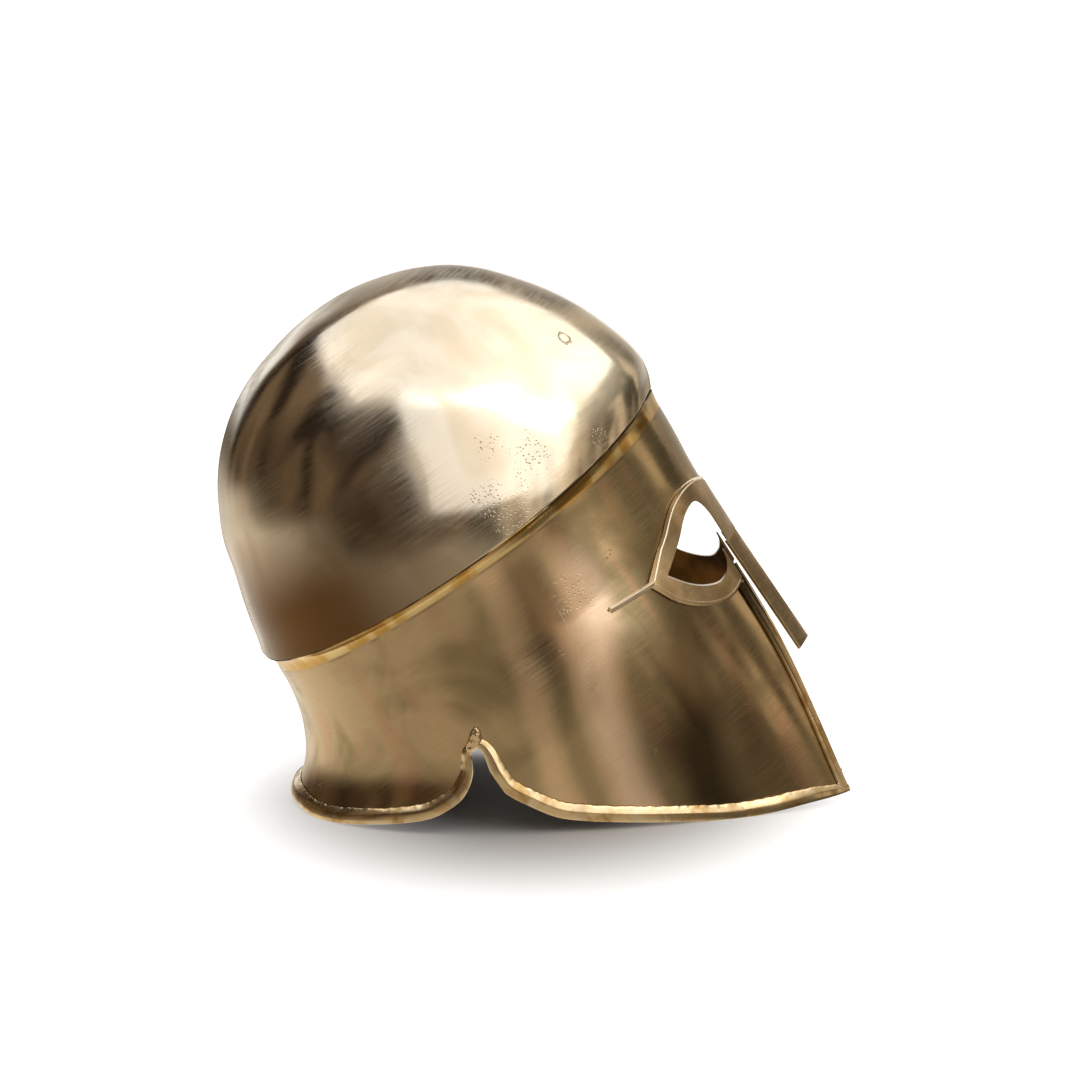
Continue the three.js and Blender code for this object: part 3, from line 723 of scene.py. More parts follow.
class Standing:
    """Lean and place that set a piece down where the solids stand."""

    def __init__(self, crown: bpy.types.Object, lean: float) -> None:
        """Find the place from the crown, which is the one piece without a cut.

        Args:
            crown: Crown in the wearing pose.
            lean: How far the helmet leans back, in radians.
        """
        turn = Matrix.Rotation(-lean, 4, "Y")
        low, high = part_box("crown_bowl")
        turned = [turn @ vertex.co for vertex in crown.data.vertices]
        shift = Vector((0, 0, 0))
        for axis in (0, 2):
            reach = [point[axis] for point in turned]
            shift[axis] = (low[axis] + high[axis] - min(reach) - max(reach)) / 2
        self.matrix = Matrix.Translation(shift) @ turn

    def settle(self, piece: bpy.types.Object) -> None:
        """Lean one piece back and set it down, with its place in its mesh."""
        piece.data.transform(self.matrix)
        piece.data.update()


def finish_piece(
    piece: bpy.types.Object, nodes: Sequence[str], finishes: Sequence[bpy.types.Material]
) -> None:
    """Dress a settled piece and hide the solids that it replaces.

    Args:
        piece: Settled piece.
        nodes: Solids that it replaces.
        finishes: Materials of its slots, in order.
    """
    for i, finish in enumerate(finishes):
        if i < len(piece.data.materials):
            piece.data.materials[i] = finish
        else:
            piece.data.materials.append(finish)
    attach(piece, "root")
    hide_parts(*nodes)
    log.info("%s: %d faces", piece.name, len(piece.data.polygons))


@dataclass
class CrownBowl:
    """Raised dome with its median ridge and its crisp lower edge."""

    columns: int = 216
    rows: int = 78
    edge_round: float = 0.35
    form: HelmetForm = FORM

    def build(self) -> bpy.types.Object:
        """Draw the dome over its sections and give it its wall."""
        last = len(self.form.crown_rows)

        def shape(u: float, v: float) -> Vector:
            """Point of the dome at a share round and a share up."""
            return self.form.crown_point(v * last, u * 2 * math.pi)

        piece = Bench.surface("crown", self.columns, self.rows, shape)
        centre = Vector((self.form.middle, 0, 0)) * MM
        Bench.turn_out(piece, lambda _: centre)
        Bench.thicken(piece, self.form.wall, 1)
        Bench.round_edges(piece, self.edge_round, lambda p: p.z < 5 * MM)
        return piece


@dataclass
class FaceAndNeckShell:
    """Forehead, cheeks and neck guard in one sheet, with all its openings."""

    columns: int = 264
    form: HelmetForm = FORM

    def depths(self) -> list[float]:
        """Depths of the rings, closest in the hollow step under the crown."""
        step = [share * self.form.step_height for share in (0, 0.1, 0.2, 0.32, 0.46, 0.62, 0.8)]
        return step + evenly(self.form.step_height, self.form.face_depth * 1.03, 84)

    def below_edge(self) -> list[Vector]:
        """Outline of everything below the lower edge, seen from the side."""
        form = self.form
        beyond = CUT_BEYOND
        edge = form.neck_edge(120) + form.cheek_edge(150)[1:]
        points = [form.skirt_point(*place) for place in edge]
        tip = points[-1]
        side = [(-beyond - form.nape_flare, -form.nape_depth)]
        side += [(point.x, point.z) for point in points]
        side += [
            (tip.x + beyond, tip.z - beyond / 2),
            (tip.x + beyond, -form.face_depth - beyond),
            (-beyond - form.nape_flare, -form.face_depth - beyond),
        ]
        return [Vector((x, -form.crown_width, z)) for x, z in side]

    def eye_opening(self) -> list[Vector]:
        """Outline of the eye opening, seen from the side."""
        top = self.form.eye_outline(self.form.eye_top_rows, 40)
        bottom = self.form.eye_outline(self.form.eye_bottom_rows, 34)
        outline = top + [(top[-1][0], self.form.slit_top_depth + 1)] + bottom[:-1]
        return [Vector((x, -self.form.crown_width, -depth)) for x, depth in outline]

    def build(self) -> bpy.types.Object:
        """Draw the sheet, give it its wall and cut its edge and openings."""
        depths = self.depths()
        rows = len(depths) - 1

        def shape(u: float, v: float) -> Vector:
            """Point of the sheet at a share round and a share down."""
            return self.form.skirt_point(depths[round(v * rows)], u * 2 * math.pi)

        piece = Bench.surface("face_and_neck", self.columns, rows, shape)
        Bench.turn_out(piece, lambda p: Vector((self.form.middle * MM, 0, p.z)))
        Bench.thicken(piece, self.form.wall, 1)
        across = Vector((0, 2 * self.form.crown_width, 0))
        Bench.cut(piece, Bench.prism(self.below_edge(), across))
        Bench.cut(piece, Bench.prism(self.eye_opening(), across))
        Bench.cut(piece, face_slit(self.form))
        return piece


def face_slit(form: HelmetForm) -> bpy.types.Object:
    """Solid that cuts the slit down the face."""
    depths = evenly(form.slit_top_depth, form.face_depth, 30) + [form.face_depth + CUT_BEYOND]
    left = [(form.slit_half(depth), depth) for depth in depths]
    right = [(-aside, depth) for aside, depth in reversed(left)]
    outline = [Vector((form.widest_at, aside, -depth)) for aside, depth in left + right]
    return Bench.prism(outline, Vector((form.crown_length, 0, 0)))


@dataclass
class EyeFrame:
    """Raised flat frame round an eye, with its rounded outer edge and its brow tail."""

    width: float = 9.0
    thickness: float = 1.2
    tail: float = 22.0
    tail_height: float = 2.6
    tail_rise: float = 2.6
    edge_inset: float = 0.4
    top_steps: int = 64
    bottom_steps: int = 56
    form: HelmetForm = FORM

    def inmost(self, depth: float) -> float:
        """How near the middle the frame comes at a depth."""
        if depth < self.form.slit_top_depth:
            return self.form.gap / 2 + 0.2
        return self.form.slit_half(depth) + 0.2

    def grown(self, points: Sequence[Place], by: float) -> list[Place]:
        """Points of a lid moved away from the middle of the eye."""
        form = self.form
        middle = form.eye_corner_at + form.eye_length * 0.6, form.eye_corner_depth
        found = []
        for i, (along, depth) in enumerate(points):
            before, after = points[max(i - 1, 0)], points[min(i + 1, len(points) - 1)]
            way = Vector((after[0] - before[0], after[1] - before[1])).normalized()
            out = Vector((way.y, -way.x))
            if out.dot(Vector((along - middle[0], depth - middle[1]))) < 0:
                out.negate()
            found.append((along + out.x * by, depth + out.y * by))
        return found

    def tail_line(self) -> tuple[Place, Place]:
        """Root and end of the brow tail's middle line."""
        corner = self.form.eye_outline(self.form.eye_top_rows, self.top_steps)[0]
        root = corner[0] - self.width, corner[1] - self.width * 0.2
        return root, (root[0] - self.tail, root[1] - self.tail_rise)

    def bottom(self) -> float:
        """Depth at which the frame ends above the strip up the cheek's front edge."""
        return self.form.eye_outline(self.form.eye_bottom_rows, 14)[3][1] + self.width

    def brow(self, by: float) -> list[Place]:
        """Brow line at a distance out from the opening, from the corner to the middle."""
        top = self.form.eye_outline(self.form.eye_top_rows, self.top_steps)
        line = self.grown(top[8:-16], by)
        end = line[-1]
        beyond = self.form.crown_length + 4
        return line + [(beyond, end[1] + (beyond - end[0]) * 0.05)]

    def lid(self, by: float) -> list[Place]:
        """Lower lid's line at a distance out from the opening, from the slit to the corner."""
        bottom = self.form.eye_outline(self.form.eye_bottom_rows, self.bottom_steps)
        return self.grown(bottom[8:-8], by)

    def outline(self) -> list[Vector]:
        """Outline of the frame, seen from the side."""
        form = self.form
        top = form.eye_outline(form.eye_top_rows, self.top_steps)
        bottom = form.eye_outline(form.eye_bottom_rows, self.bottom_steps)
        brow, lid = self.brow(self.width), self.lid(self.width)
        root, end = self.tail_line()
        inner = top[-1][0]
        beyond = brow[-1][0]
        side = [
            (end[0], end[1] - self.tail_height / 4),
            (root[0], root[1] - self.tail_height / 2),
            *brow,
            (beyond, form.slit_top_depth),
            (inner, form.slit_top_depth),
            *reversed(top),
            *list(reversed(bottom))[1:],
            (beyond, bottom[0][1]),
            (beyond, lid[0][1]),
            *lid,
            (root[0], root[1] + self.tail_height / 2),
            (end[0], end[1] + self.tail_height / 4),
        ]
        return [Vector((x, form.gap / 2, -depth)) for x, depth in side]

    def sheet(self) -> bpy.types.Object:
        """Flat part of the frame."""
        form = self.form
        angles = (-0.03, math.radians(78))
        depths = (38.0, 112.0)
        out = form.gap + self.thickness

        def shape(u: float, v: float) -> Vector:
            """Point of the frame's outside."""
            depth = depths[0] + (depths[1] - depths[0]) * v
            return form.skirt_layer(depth, angles[0] + (angles[1] - angles[0]) * u, out)

        piece = Bench.surface("eye_frame_left", 150, 84, shape)
        Bench.turn_out(piece, lambda p: Vector((form.middle * MM, 0, p.z)))
        Bench.thicken(piece, self.thickness)
        side = Bench.prism(self.outline(), Vector((0, form.crown_width, 0)))
        Bench.cut(piece, side, keep_inside=True)
        Bench.cut(piece, face_slit(form))
        return piece

    def strip(
        self, name: str, line: Sequence[Place], corners: Sequence[Place], pointed: int
    ) -> bpy.types.Object:
        """Thin strip along a line of the frame.

        Args:
            name: Name of the new object.
            line: (along, depth) points of its middle, seen from the side.
            corners: (up, out) corners of its profile.
            pointed: Over how many stretches its ends narrow.

        Returns:
            Closed strip.
        """
        form = self.form
        path = [(depth, form.angle_at(along, depth)) for along, depth in line]
        path = [place for place in path if form.skirt_point(*place).y > self.inmost(place[0])]
        around = len(corners)
        return Strip(form, path, 160).build(
            name, lambda v: corners[round(v * around) % around], around, pointed
        )

    def build(self) -> bpy.types.Object:
        """Build the left frame: its flat, its rounded outer edge and its brow tail."""
        root, end = self.tail_line()
        corner = root[0] + self.edge_inset, root[1]
        edge = self.width - self.edge_inset
        low, high = self.form.gap, self.form.gap + self.thickness
        rounded = [
            (-0.9, low), (-0.92, low + 0.35), (-0.75, low + 0.6), (0.3, high), (0.8, high + 0.16),
            (1.05, high + 0.12), (1.2, high - 0.05), (1.2, low),
        ]
        bar = [(-1.5, low), (-1.5, 0.9), (-1.1, 1.3), (-0.5, 2.0), (0.9, 1.5), (1.5, 0.95), (1.5, low)]
        brow = smooth_outline([corner, *self.brow(edge)[3:]], 160)
        lid = smooth_outline([*self.lid(edge)[:-3], corner], 100)
        tail = smooth_outline([end, (root[0] + 1.6, root[1] + 0.1)], 40)
        # Painted light: the rounded brow edge gets a full painted highlight, the brow tail a strong one and
        # the lid edge a faint one; the flat gets none
        return Bench.join([
            mark_painted_light(self.sheet(), 0.0),
            mark_painted_light(self.strip("brow_edge", brow, rounded, 3), 1.0),
            mark_painted_light(self.strip("lid_edge", lid, rounded, 3), 0.3),
            mark_painted_light(self.strip("brow_tail", tail, bar, 2), 0.8),
        ])


def mark_painted_light(piece: bpy.types.Object, top: float, bottom: float | None = None) -> bpy.types.Object:
    """Store how much painted light a part of a piece gets, 1 a painted highlight to -1 painted shade.

    Args:
        piece: Part in the wearing pose.
        top: Painted light at its top.
        bottom: Painted light at its bottom, the same as at its top if None.

    Returns:
        The part.
    """
    bottom = top if bottom is None else bottom
    heights = [vertex.co.z for vertex in piece.data.vertices]
    low, high = min(heights), max(heights)
    painted_levels = [bottom + (top - bottom) * (z - low) / (high - low) for z in heights]
    piece.data.attributes.new("painted_light", "FLOAT", "POINT").data.foreach_set("value", painted_levels)
    return piece


class Strip:
    """Strip that follows the skirt's outside along a path."""

    def __init__(self, form: HelmetForm, path: Sequence[Place], steps: int) -> None:
        """Space the path evenly.

        Args:
            form: Form of the helmet.
            path: (depth, angle) places.
            steps: How many stretches the strip has.
        """
        self.form = form
        points = [form.skirt_point(*place) for place in path]
        lengths = [(p - q).length for p, q in zip(points, points[1:])]
        self.path = spaced(path, lengths, steps)
        self.ways = [self.way_up(i) for i in range(len(self.path))]

    def way_up(self, i: int) -> Vector:
        """Direction along the surface and square to the path, at one place of it."""
        reach = 2
        before = self.form.skirt_point(*self.path[max(i - reach, 0)])
        after = self.form.skirt_point(*self.path[min(i + reach, len(self.path) - 1)])
        return self.form.skirt_normal(*self.path[i]).cross((after - before).normalized()).normalized()

    def nearer(self, depth: float, angle: float, goal: Vector) -> Place:
        """Depth and angle whose point of the skirt lies nearer to a goal."""
        down, turn = 0.25, 0.004
        at = self.form.skirt_point(depth, angle)
        per_depth = (self.form.skirt_point(depth + down, angle) - at) / down
        per_angle = (self.form.skirt_point(depth, angle + turn) - at) / turn
        dd, da, aa = per_depth.dot(per_depth), per_depth.dot(per_angle), per_angle.dot(per_angle)
        du, au = per_depth.dot(goal - at), per_angle.dot(goal - at)
        scale = dd * aa - da * da
        return depth + (du * aa - au * da) / scale, angle + (au * dd - du * da) / scale

    def point(self, i: int, up: float, out: float) -> Vector:
        """Point of the strip at one place of its path."""
        depth, angle = self.path[i]
        goal = self.form.skirt_point(depth, angle) + self.ways[i] * up
        for _ in range(4):
            depth, angle = self.nearer(depth, angle, goal)
        return self.form.skirt_layer(depth, angle, out)

    def build(
        self,
        name: str,
        profile: Callable[[float], Place],
        around: int,
        pointed: int = 0,
        solder: float = math.inf,
        taper: Callable[[float], float] = lambda _: 1.0,
    ) -> bpy.types.Object:
        """Sweep a closed profile along the path.

        Args:
            name: Name of the new object.
            profile: (up, out) point of the profile at a share round it.
            around: Faces round the profile.
            pointed: Over how many stretches each end narrows to a point.
            solder: Height above which the profile wavers, as solder does.
            taper: Share of its width and thickness that the strip has at a share along.

        Returns:
            Closed strip with its faces pointing out.
        """
        steps = len(self.path) - 1
        middle = profile(0.0)

        def shape(u: float, v: float) -> Vector:
            """Point of the strip at a share along and a share round."""
            i = round(u * steps)
            up, out = profile(v)
            if up > solder:
                place = self.form.skirt_point(*self.path[i])
                up += 0.4 * noise.noise(place * 0.3) + 0.15 * noise.noise(place * 0.9)
            full = clamp(min(i, steps - i) / pointed) if pointed else 1.0
            full = (math.sin(full * math.pi / 2) * 0.98 + 0.02) * taper(u)
            return self.point(i, up * full, middle[1] + (out - middle[1]) * full)

        piece = Bench.surface(name, steps, around, shape)
        Bench.close(piece)
        return piece


@dataclass
class Rims:
    """Rolled strips along the neck guard and the cheeks."""

    height: float = 7.0
    thickness: float = 2.8
    chamfer: float = 3.0
    overhang: float = 0.6
    strip_width: float = 5.5
    strip_thickness: float = 1.2
    strip_groove: float = 0.55
    neck_taper: float = 0.09
    cheek_taper: float = 0.1
    tip_taper: float = 0.2
    strip_stop: float = 3.0
    blob_width: float = 11.5
    blob_height: float = 9.0
    blob_thickness: float = 2.2
    blob_shift: float = -0.6
    form: HelmetForm = FORM

    def rim_profile(self, v: float) -> Place:
        """Point round the rim: a plumb lower band and a sloping upper one, with rounded corners."""
        gap, thick, high = self.form.gap, self.thickness, self.height
        edge = high - self.chamfer
        back = gap + self.strip_thickness / 2
        corners = (
            (-self.overhang, gap),
            (-self.overhang, gap + 0.9),
            (-self.overhang, thick - 0.9),
            (-self.overhang + 0.18, thick - 0.28),
            (-self.overhang + 0.7, thick),
            (edge * 0.35, thick + 0.04),
            (edge * 0.75, thick + 0.04),
            (edge - 0.3, thick),
            (edge + 0.15, thick - 0.14),
            (edge + self.chamfer * 0.3, thick - 0.62),
            (edge + self.chamfer * 0.6, thick - 1.15),
            (high - 0.35, back + 0.16),
            (high - 0.05, back - 0.1),
            (high, gap),
            (high * 0.67, gap),
            (high * 0.33, gap),
        )
        return corners[round(v * len(corners)) % len(corners)]

    def strip_profile(self, v: float) -> Place:
        """Point round the flat strip up a cheek's front edge, with a groove along its middle."""
        gap, thick, wide = self.form.gap, self.strip_thickness, self.strip_width
        low = gap + thick - self.strip_groove
        corners = (
            (-self.overhang, gap),
            (-self.overhang, gap + thick - 0.2),
            (-self.overhang + 0.2, gap + thick),
            (wide * 0.36, gap + thick),
            (wide * 0.43, gap + thick - 0.1),
            (wide * 0.47, low),
            (wide * 0.55, low),
            (wide * 0.6, gap + thick - 0.1),
            (wide * 0.66, gap + thick),
            (wide - 0.2, gap + thick),
            (wide, gap + thick - 0.2),
            (wide, gap),
            (wide * 0.5, gap),
        )
        return corners[round(v * len(corners)) % len(corners)]

    def neck(self) -> bpy.types.Object:
        """Rim along the neck guard, from notch to notch."""
        left = self.form.neck_edge(240)
        right = [(depth, 2 * math.pi - angle) for depth, angle in left]
        strip = Strip(self.form, list(reversed(left)) + right[1:], 420)

        def taper(u: float) -> float:
            """Share of the rim's size, less toward each notch."""
            return 0.5 + 0.5 * math.sin(clamp(min(u, 1 - u) / self.neck_taper) * math.pi / 2)

        piece = strip.build("neck_rim_bead", self.rim_profile, 16, solder=self.height - 0.5, taper=taper)
        notch = Vector(((self.form.notch_at - self.form.gap / 2) * MM, 0, 0))
        Bench.slice_off(piece, notch, Vector((1, 0, 0)))
        blob = self.solder_blob()
        return Bench.join([piece, blob, Bench.mirrored(blob, "solder_right")])

    def solder_blob(self) -> bpy.types.Object:
        """Lump of solder that closes the top of the left notch, between the two rims."""
        form = self.form

        def shape(u: float, v: float) -> Vector:
            """Point of the lump at a share round and a share up its slope."""
            turn = u * 2 * math.pi
            out = self.blob_thickness * math.sin(v * math.pi / 2) ** 0.6
            reach = math.cos(v * math.pi / 2) ** 0.6
            up = self.blob_height * (0.5 + 0.5 * math.sin(turn) * reach)
            half = self.blob_width / 2 * (1 - 0.55 * up / self.blob_height)
            along = half * math.copysign(abs(math.cos(turn)) ** 0.6, math.cos(turn)) * reach
            along += self.blob_shift + up * math.tan(form.lean)
            depth = form.notch_depth + self.overhang + 0.4 - up
            place = form.skirt_point(depth, form.angle_at(form.notch_at + along, depth))
            lumps = 0.5 * noise.noise(place * 0.4) + 0.25 * noise.noise(place)
            angle = form.angle_at(form.notch_at + along + 1.2 * lumps * reach, depth)
            return form.skirt_layer(depth, angle, form.gap + out + lumps * math.sin(v * math.pi / 2))

        piece = Bench.surface("solder_left", 36, 14, shape)
        Bench.close(piece)
        return piece

    def cheek(self, frame_bottom: float) -> bpy.types.Object:
        """Rim along the left cheek's lower edge and the strip up its front edge.

        Args:
            frame_bottom: Depth at which the eye frame ends above the strip.
        """
        form = self.form
        start = frame_bottom + form.gap + self.overhang
        front = [
            (depth, form.angle_aside(form.slit_half(depth), depth))
            for depth in evenly(start, form.face_depth - self.strip_stop, 60)
        ]
        lower = Strip(form, list(reversed(form.cheek_edge(300))), 300)

        def taper(u: float) -> float:
            """Share of the rim's size, less toward the notch and the tip."""
            tip = 0.6 + 0.4 * math.sin(clamp(u / self.tip_taper) * math.pi / 2)
            return tip * (0.5 + 0.5 * math.sin(clamp((1 - u) / self.cheek_taper) * math.pi / 2))

        rim = lower.build("cheek_rim_bead_left", self.rim_profile, 16, solder=self.height - 0.5, taper=taper)
        strip = Strip(form, front, 120).build("cheek_front_strip", self.strip_profile, 13)
        # Painted light: the strip up the front edge is painted in shade at its top, fading to a painted
        # highlight at its bottom; the rim gets none
        piece = Bench.join([mark_painted_light(rim, 0.0), mark_painted_light(strip, -0.9, 0.5)])
        notch = Vector(((form.notch_at + form.gap / 2) * MM, 0, 0))
        Bench.slice_off(piece, notch, Vector((-1, 0, 0)))
        return piece


@dataclass
class NasalGuard:
    """Strip that hangs from the brow between the eyes, folded along its middle."""

    length: float = 66.0
    width: float = 34.0
    fold: float = 6.3
    fold_curve: float = 1.15
    thickness: float = 1.6
    edge_round: float = 0.35
    proud: float = 1.2
    widths: tuple[Row, ...] = ((0, 1), (0.2, 0.93), (0.4, 0.88), (0.6, 0.87), (0.8, 0.9), (1, 0.94))
    form: HelmetForm = FORM

    def build(self) -> bpy.types.Object:
        """Draw the folded strip and give it its thickness."""
        form = self.form
        crease = form.skirt_point(form.slit_top_depth, 0).x + self.proud
        top = form.slit_top_depth + form.gap

        def shape(u: float, v: float) -> Vector:
            """Point of the guard at a share across and a share down."""
            share = 2 * u - 1
            half = self.width * cubic_column(self.widths, 1, v) / 2
            back = self.fold * abs(share) ** self.fold_curve
            return Vector((crease - back, share * half, -top - self.length * v))

        piece = Bench.surface("nasal", 24, 44, shape)
        Bench.turn_out(piece, lambda p: Vector((form.middle * MM, 0, p.z)))
        Bench.thicken(piece, self.thickness)
        Bench.round_edges(piece, self.edge_round)
        return piece


def srgb(code: str) -> tuple[float, float, float, float]:
    """Turn an sRGB hex colour to linear."""
    parts = [int(code[i:i + 2], 16) / 255 for i in (1, 3, 5)]
    return (*(p / 12.92 if p <= 0.04045 else ((p + 0.055) / 1.055) ** 2.4 for p in parts), 1.0)


class Nodes:
    """Node tree of a material or of the world, with its output ready."""

    def __init__(self, owner: bpy.types.ID) -> None:
        """Empty the tree of an owner."""
        owner.use_nodes = True
        self.tree = owner.node_tree
        self.tree.nodes.clear()

    def add(self, kind: str, *links: object, **settings: object) -> bpy.types.Node:
        """Add a node.

        Args:
            kind: Type of the node, without its ShaderNode prefix.
            links: Sockets or plain values for its first inputs; None leaves one as it is.
            settings: Properties of the node; a name that starts with in_ is an input's name.

        Returns:
            The new node.
        """
        node = self.tree.nodes.new("ShaderNode" + kind)
        named = {name[3:].replace("_", " "): value for name, value in settings.items() if name[:3] == "in_"}
        for name, value in settings.items():
            if name[:3] != "in_":
                setattr(node, name, value)
        for socket, value in list(zip(node.inputs, links)) + [(node.inputs[n], v) for n, v in named.items()]:
            if isinstance(value, bpy.types.NodeSocket):
                self.tree.links.new(value, socket)
            elif value is not None:
                socket.default_value = value
        return node

    def mask(self, value: object, low: float, high: float) -> bpy.types.NodeSocket:
        """Soft step of a value, 0 at low and 1 at high; high may lie below low."""
        node = self.add("MapRange", value, low, high, 0.0, 1.0, interpolation_type="SMOOTHSTEP")
        return node.outputs["Result"]

    def maths(self, operation: str, *values: object) -> bpy.types.NodeSocket:
        """Result of one sum on sockets or plain values."""
        return self.add("Math", *values, operation=operation).outputs[0]

    def product(self, first: object, *others: object) -> bpy.types.NodeSocket:
        """Product of sockets or plain values."""
        for other in others:
            first = self.maths("MULTIPLY", first, other)
        return first

    def noise(self, at: object, scale: float, detail: float, **settings: float) -> bpy.types.NodeSocket:
        """Value of a noise texture at a place."""
        return self.add("TexNoise", at, in_Scale=scale, in_Detail=detail, **settings).outputs[0]

    def away_from(self, at: object, spot: "Spot") -> bpy.types.NodeSocket:
        """Distance of a place from the middle of a spot, in metres."""
        middle = tuple(v * MM for v in spot.at)
        return self.add("VectorMath", at, middle, operation="DISTANCE").outputs["Value"]

    def metal(self, colour: object, roughness: object, height: object, depth: float) -> None:
        """Join the looks of a bare metal to the output.

        Args:
            colour: Tint of its reflections.
            roughness: How dull it is.
            height: Relief of its surface.
            depth: Depth in metres that a relief of one stands for.
        """
        bump = self.add("Bump", in_Strength=1.0, in_Distance=depth, in_Height=height)
        shader = self.add(
            "BsdfPrincipled", in_Base_Color=colour, in_Metallic=1.0, in_Roughness=roughness,
            in_Normal=bump.outputs[0],
        )
        self.add("OutputMaterial", shader.outputs[0])

    def blend(self, share: object, low: object, high: object) -> bpy.types.NodeSocket:
        """Mix of two colours."""
        node = self.add("Mix", data_type="RGBA", in_Factor=share)
        for socket, value in ((node.inputs[6], low), (node.inputs[7], high)):
            if isinstance(value, bpy.types.NodeSocket):
                self.tree.links.new(value, socket)
            else:
                socket.default_value = value
        return node.outputs[2]


@dataclass(frozen=True)
class Spot:
    """Round place on the helmet, in the wearing pose, in millimetres."""

    at: Row
    radius: float


@dataclass(frozen=True)
class TarnishAndReflectionBand:
    """Upright band of colour, in the standing pose, in millimetres: partly real tarnish, partly a painted
    reflection of the room.
    """

    along: float
    half_width: float
    colour: str
    share: float


@dataclass(frozen=True)
class PolishedBrass:
    """Sheet brass, hammered to shape, soldered, and polished by hand on a buffing wheel.

    The metal is bright, and what varies is its tint and its gloss: thin tarnish in soft clouds, olive and
    copper pink where the polish thins, drag lines of the wheel, and pits where the hammer left scale. Some
    of its colour is painted light: painted highlights and shade on parts of the frames and rims, upright
    bands of painted reflection mixed with tarnish on the cheeks, painted shade low on the back of the dome,
    and a painted golden highlight in the step under the crown's edge.
    """

    name: str
    bright: str
    tarnished: str
    flushed: str
    roughness: float
    cloud_mm: float = 42.0
    streak_mm: float = 16.0
    streak_length: float = 6.0
    streak_share: float = 0.5
    line_mm: float = 0.8
    line_turn: float = 0.6
    line_depth_mm: float = 0.006
    pit_mm: float = 1.5
    pit_depth_mm: float = 0.1
    scratch_depth_mm: float = 0.03
    ring_depth_mm: float = 0.2
    pit_clusters: tuple[Spot, ...] = ()
    loose_pits: float = 0.0
    ring: Spot | None = None
    joint: bool = False
    with_painted_light: bool = False
    low_painted_shade: bool = False
    bands: tuple[TarnishAndReflectionBand, ...] = ()

    def build(self, to_wearing: Matrix) -> bpy.types.Material:
        """Make the material.

        Args:
            to_wearing: Matrix that takes a standing point back to the wearing pose.

        Returns:
            Material for pieces of this brass.
        """
        material = bpy.data.materials.new(self.name)
        nodes = Nodes(material)
        place, turn, _ = to_wearing.decompose()
        standing = nodes.add("TexCoord").outputs["Object"]
        wearing = nodes.add("Mapping", standing, in_Location=place, in_Rotation=turn.to_euler()).outputs[0]

        clouds = nodes.noise(wearing, 1000 / self.cloud_mm, 3.0, in_Distortion=0.8)
        drawn = nodes.add("Mapping", wearing, in_Scale=(1, 1, 1 / self.streak_length)).outputs[0]
        streaks = nodes.noise(drawn, 1000 / self.streak_mm, 2.0, in_Distortion=0.3)
        tarnish = nodes.mask(clouds, 0.42, 0.68)
        colour = nodes.blend(tarnish, srgb(self.bright), srgb(self.tarnished))
        flush = nodes.product(nodes.mask(streaks, 0.5, 0.68), self.streak_share)
        colour = nodes.blend(flush, colour, srgb(self.flushed))
        if self.bands:
            colour = self.lay_tarnish_and_reflection_bands(nodes, standing, colour)
        lines = self.wheel_lines(nodes, wearing)
        dulled = nodes.product(nodes.mask(lines, 0.5, 0.75), 0.14)
        colour = nodes.blend(dulled, colour, srgb(self.tarnished))

        pits = self.pits(nodes, wearing)
        scratch = self.scratches(nodes, wearing, streaks)
        height = nodes.product(lines, self.line_depth_mm)
        height = nodes.maths("SUBTRACT", height, nodes.product(pits, self.pit_depth_mm))
        height = nodes.maths("SUBTRACT", height, nodes.product(scratch, self.scratch_depth_mm))
        colour = nodes.blend(nodes.product(pits, 0.5), colour, srgb("#5E4A2E"))
        if self.ring:
            ring = self.ring_mark(nodes, wearing)
            colour = nodes.blend(nodes.product(ring, 0.55), colour, srgb("#4A3E2C"))
            height = nodes.maths("SUBTRACT", height, nodes.product(ring, self.ring_depth_mm))
        roughness = nodes.maths("MULTIPLY_ADD", tarnish, 0.1, self.roughness)
        roughness = nodes.maths("MULTIPLY_ADD", nodes.mask(lines, 0.35, 0.7), 0.07, roughness)
        roughness = nodes.maths("MULTIPLY_ADD", pits, 0.35, roughness)
        # Painted light: where the stored level is above 0 the part is lightened toward a near-white painted
        # highlight and dulled; below 0 it is darkened toward painted shade
        if self.with_painted_light:
            painted_light = nodes.add("Attribute", attribute_name="painted_light").outputs["Fac"]
            light, dark = nodes.mask(painted_light, 0.0, 1.0), nodes.mask(painted_light, 0.0, -1.0)
            colour = nodes.blend(light, colour, srgb("#FFEFD6"))
            colour = nodes.blend(dark, colour, srgb("#3E3220"))
            roughness = nodes.maths("MULTIPLY_ADD", light, 0.2, roughness)
        # Painted shade: the lower back of the dome is tinted brown, darker toward its edge, standing in for
        # the neck guard and floor shadow that it mirrors
        if self.low_painted_shade:
            height_up = nodes.add("Attribute", attribute_name="from_joint").outputs["Fac"]
            along = nodes.add("SeparateXYZ", wearing).outputs[0]
            low = nodes.product(nodes.mask(height_up, 85.0, 20.0), nodes.mask(along, 0.16, 0.05))
            colour = nodes.blend(low, colour, srgb("#6A4E30"))
        if self.joint:
            joint = nodes.add("Attribute", attribute_name="from_joint").outputs["Fac"]
            # Painted highlight: the hollow step just under the crown's edge is coloured light gold, standing
            # in for the bright reflection that it shows
            golden = nodes.mask(joint, 10.5, 8.5)
            fillet_sheen = nodes.blend(nodes.mask(streaks, 0.4, 0.6), srgb("#D4AA60"), srgb("#F0D69C"))
            colour = nodes.blend(golden, colour, fillet_sheen)
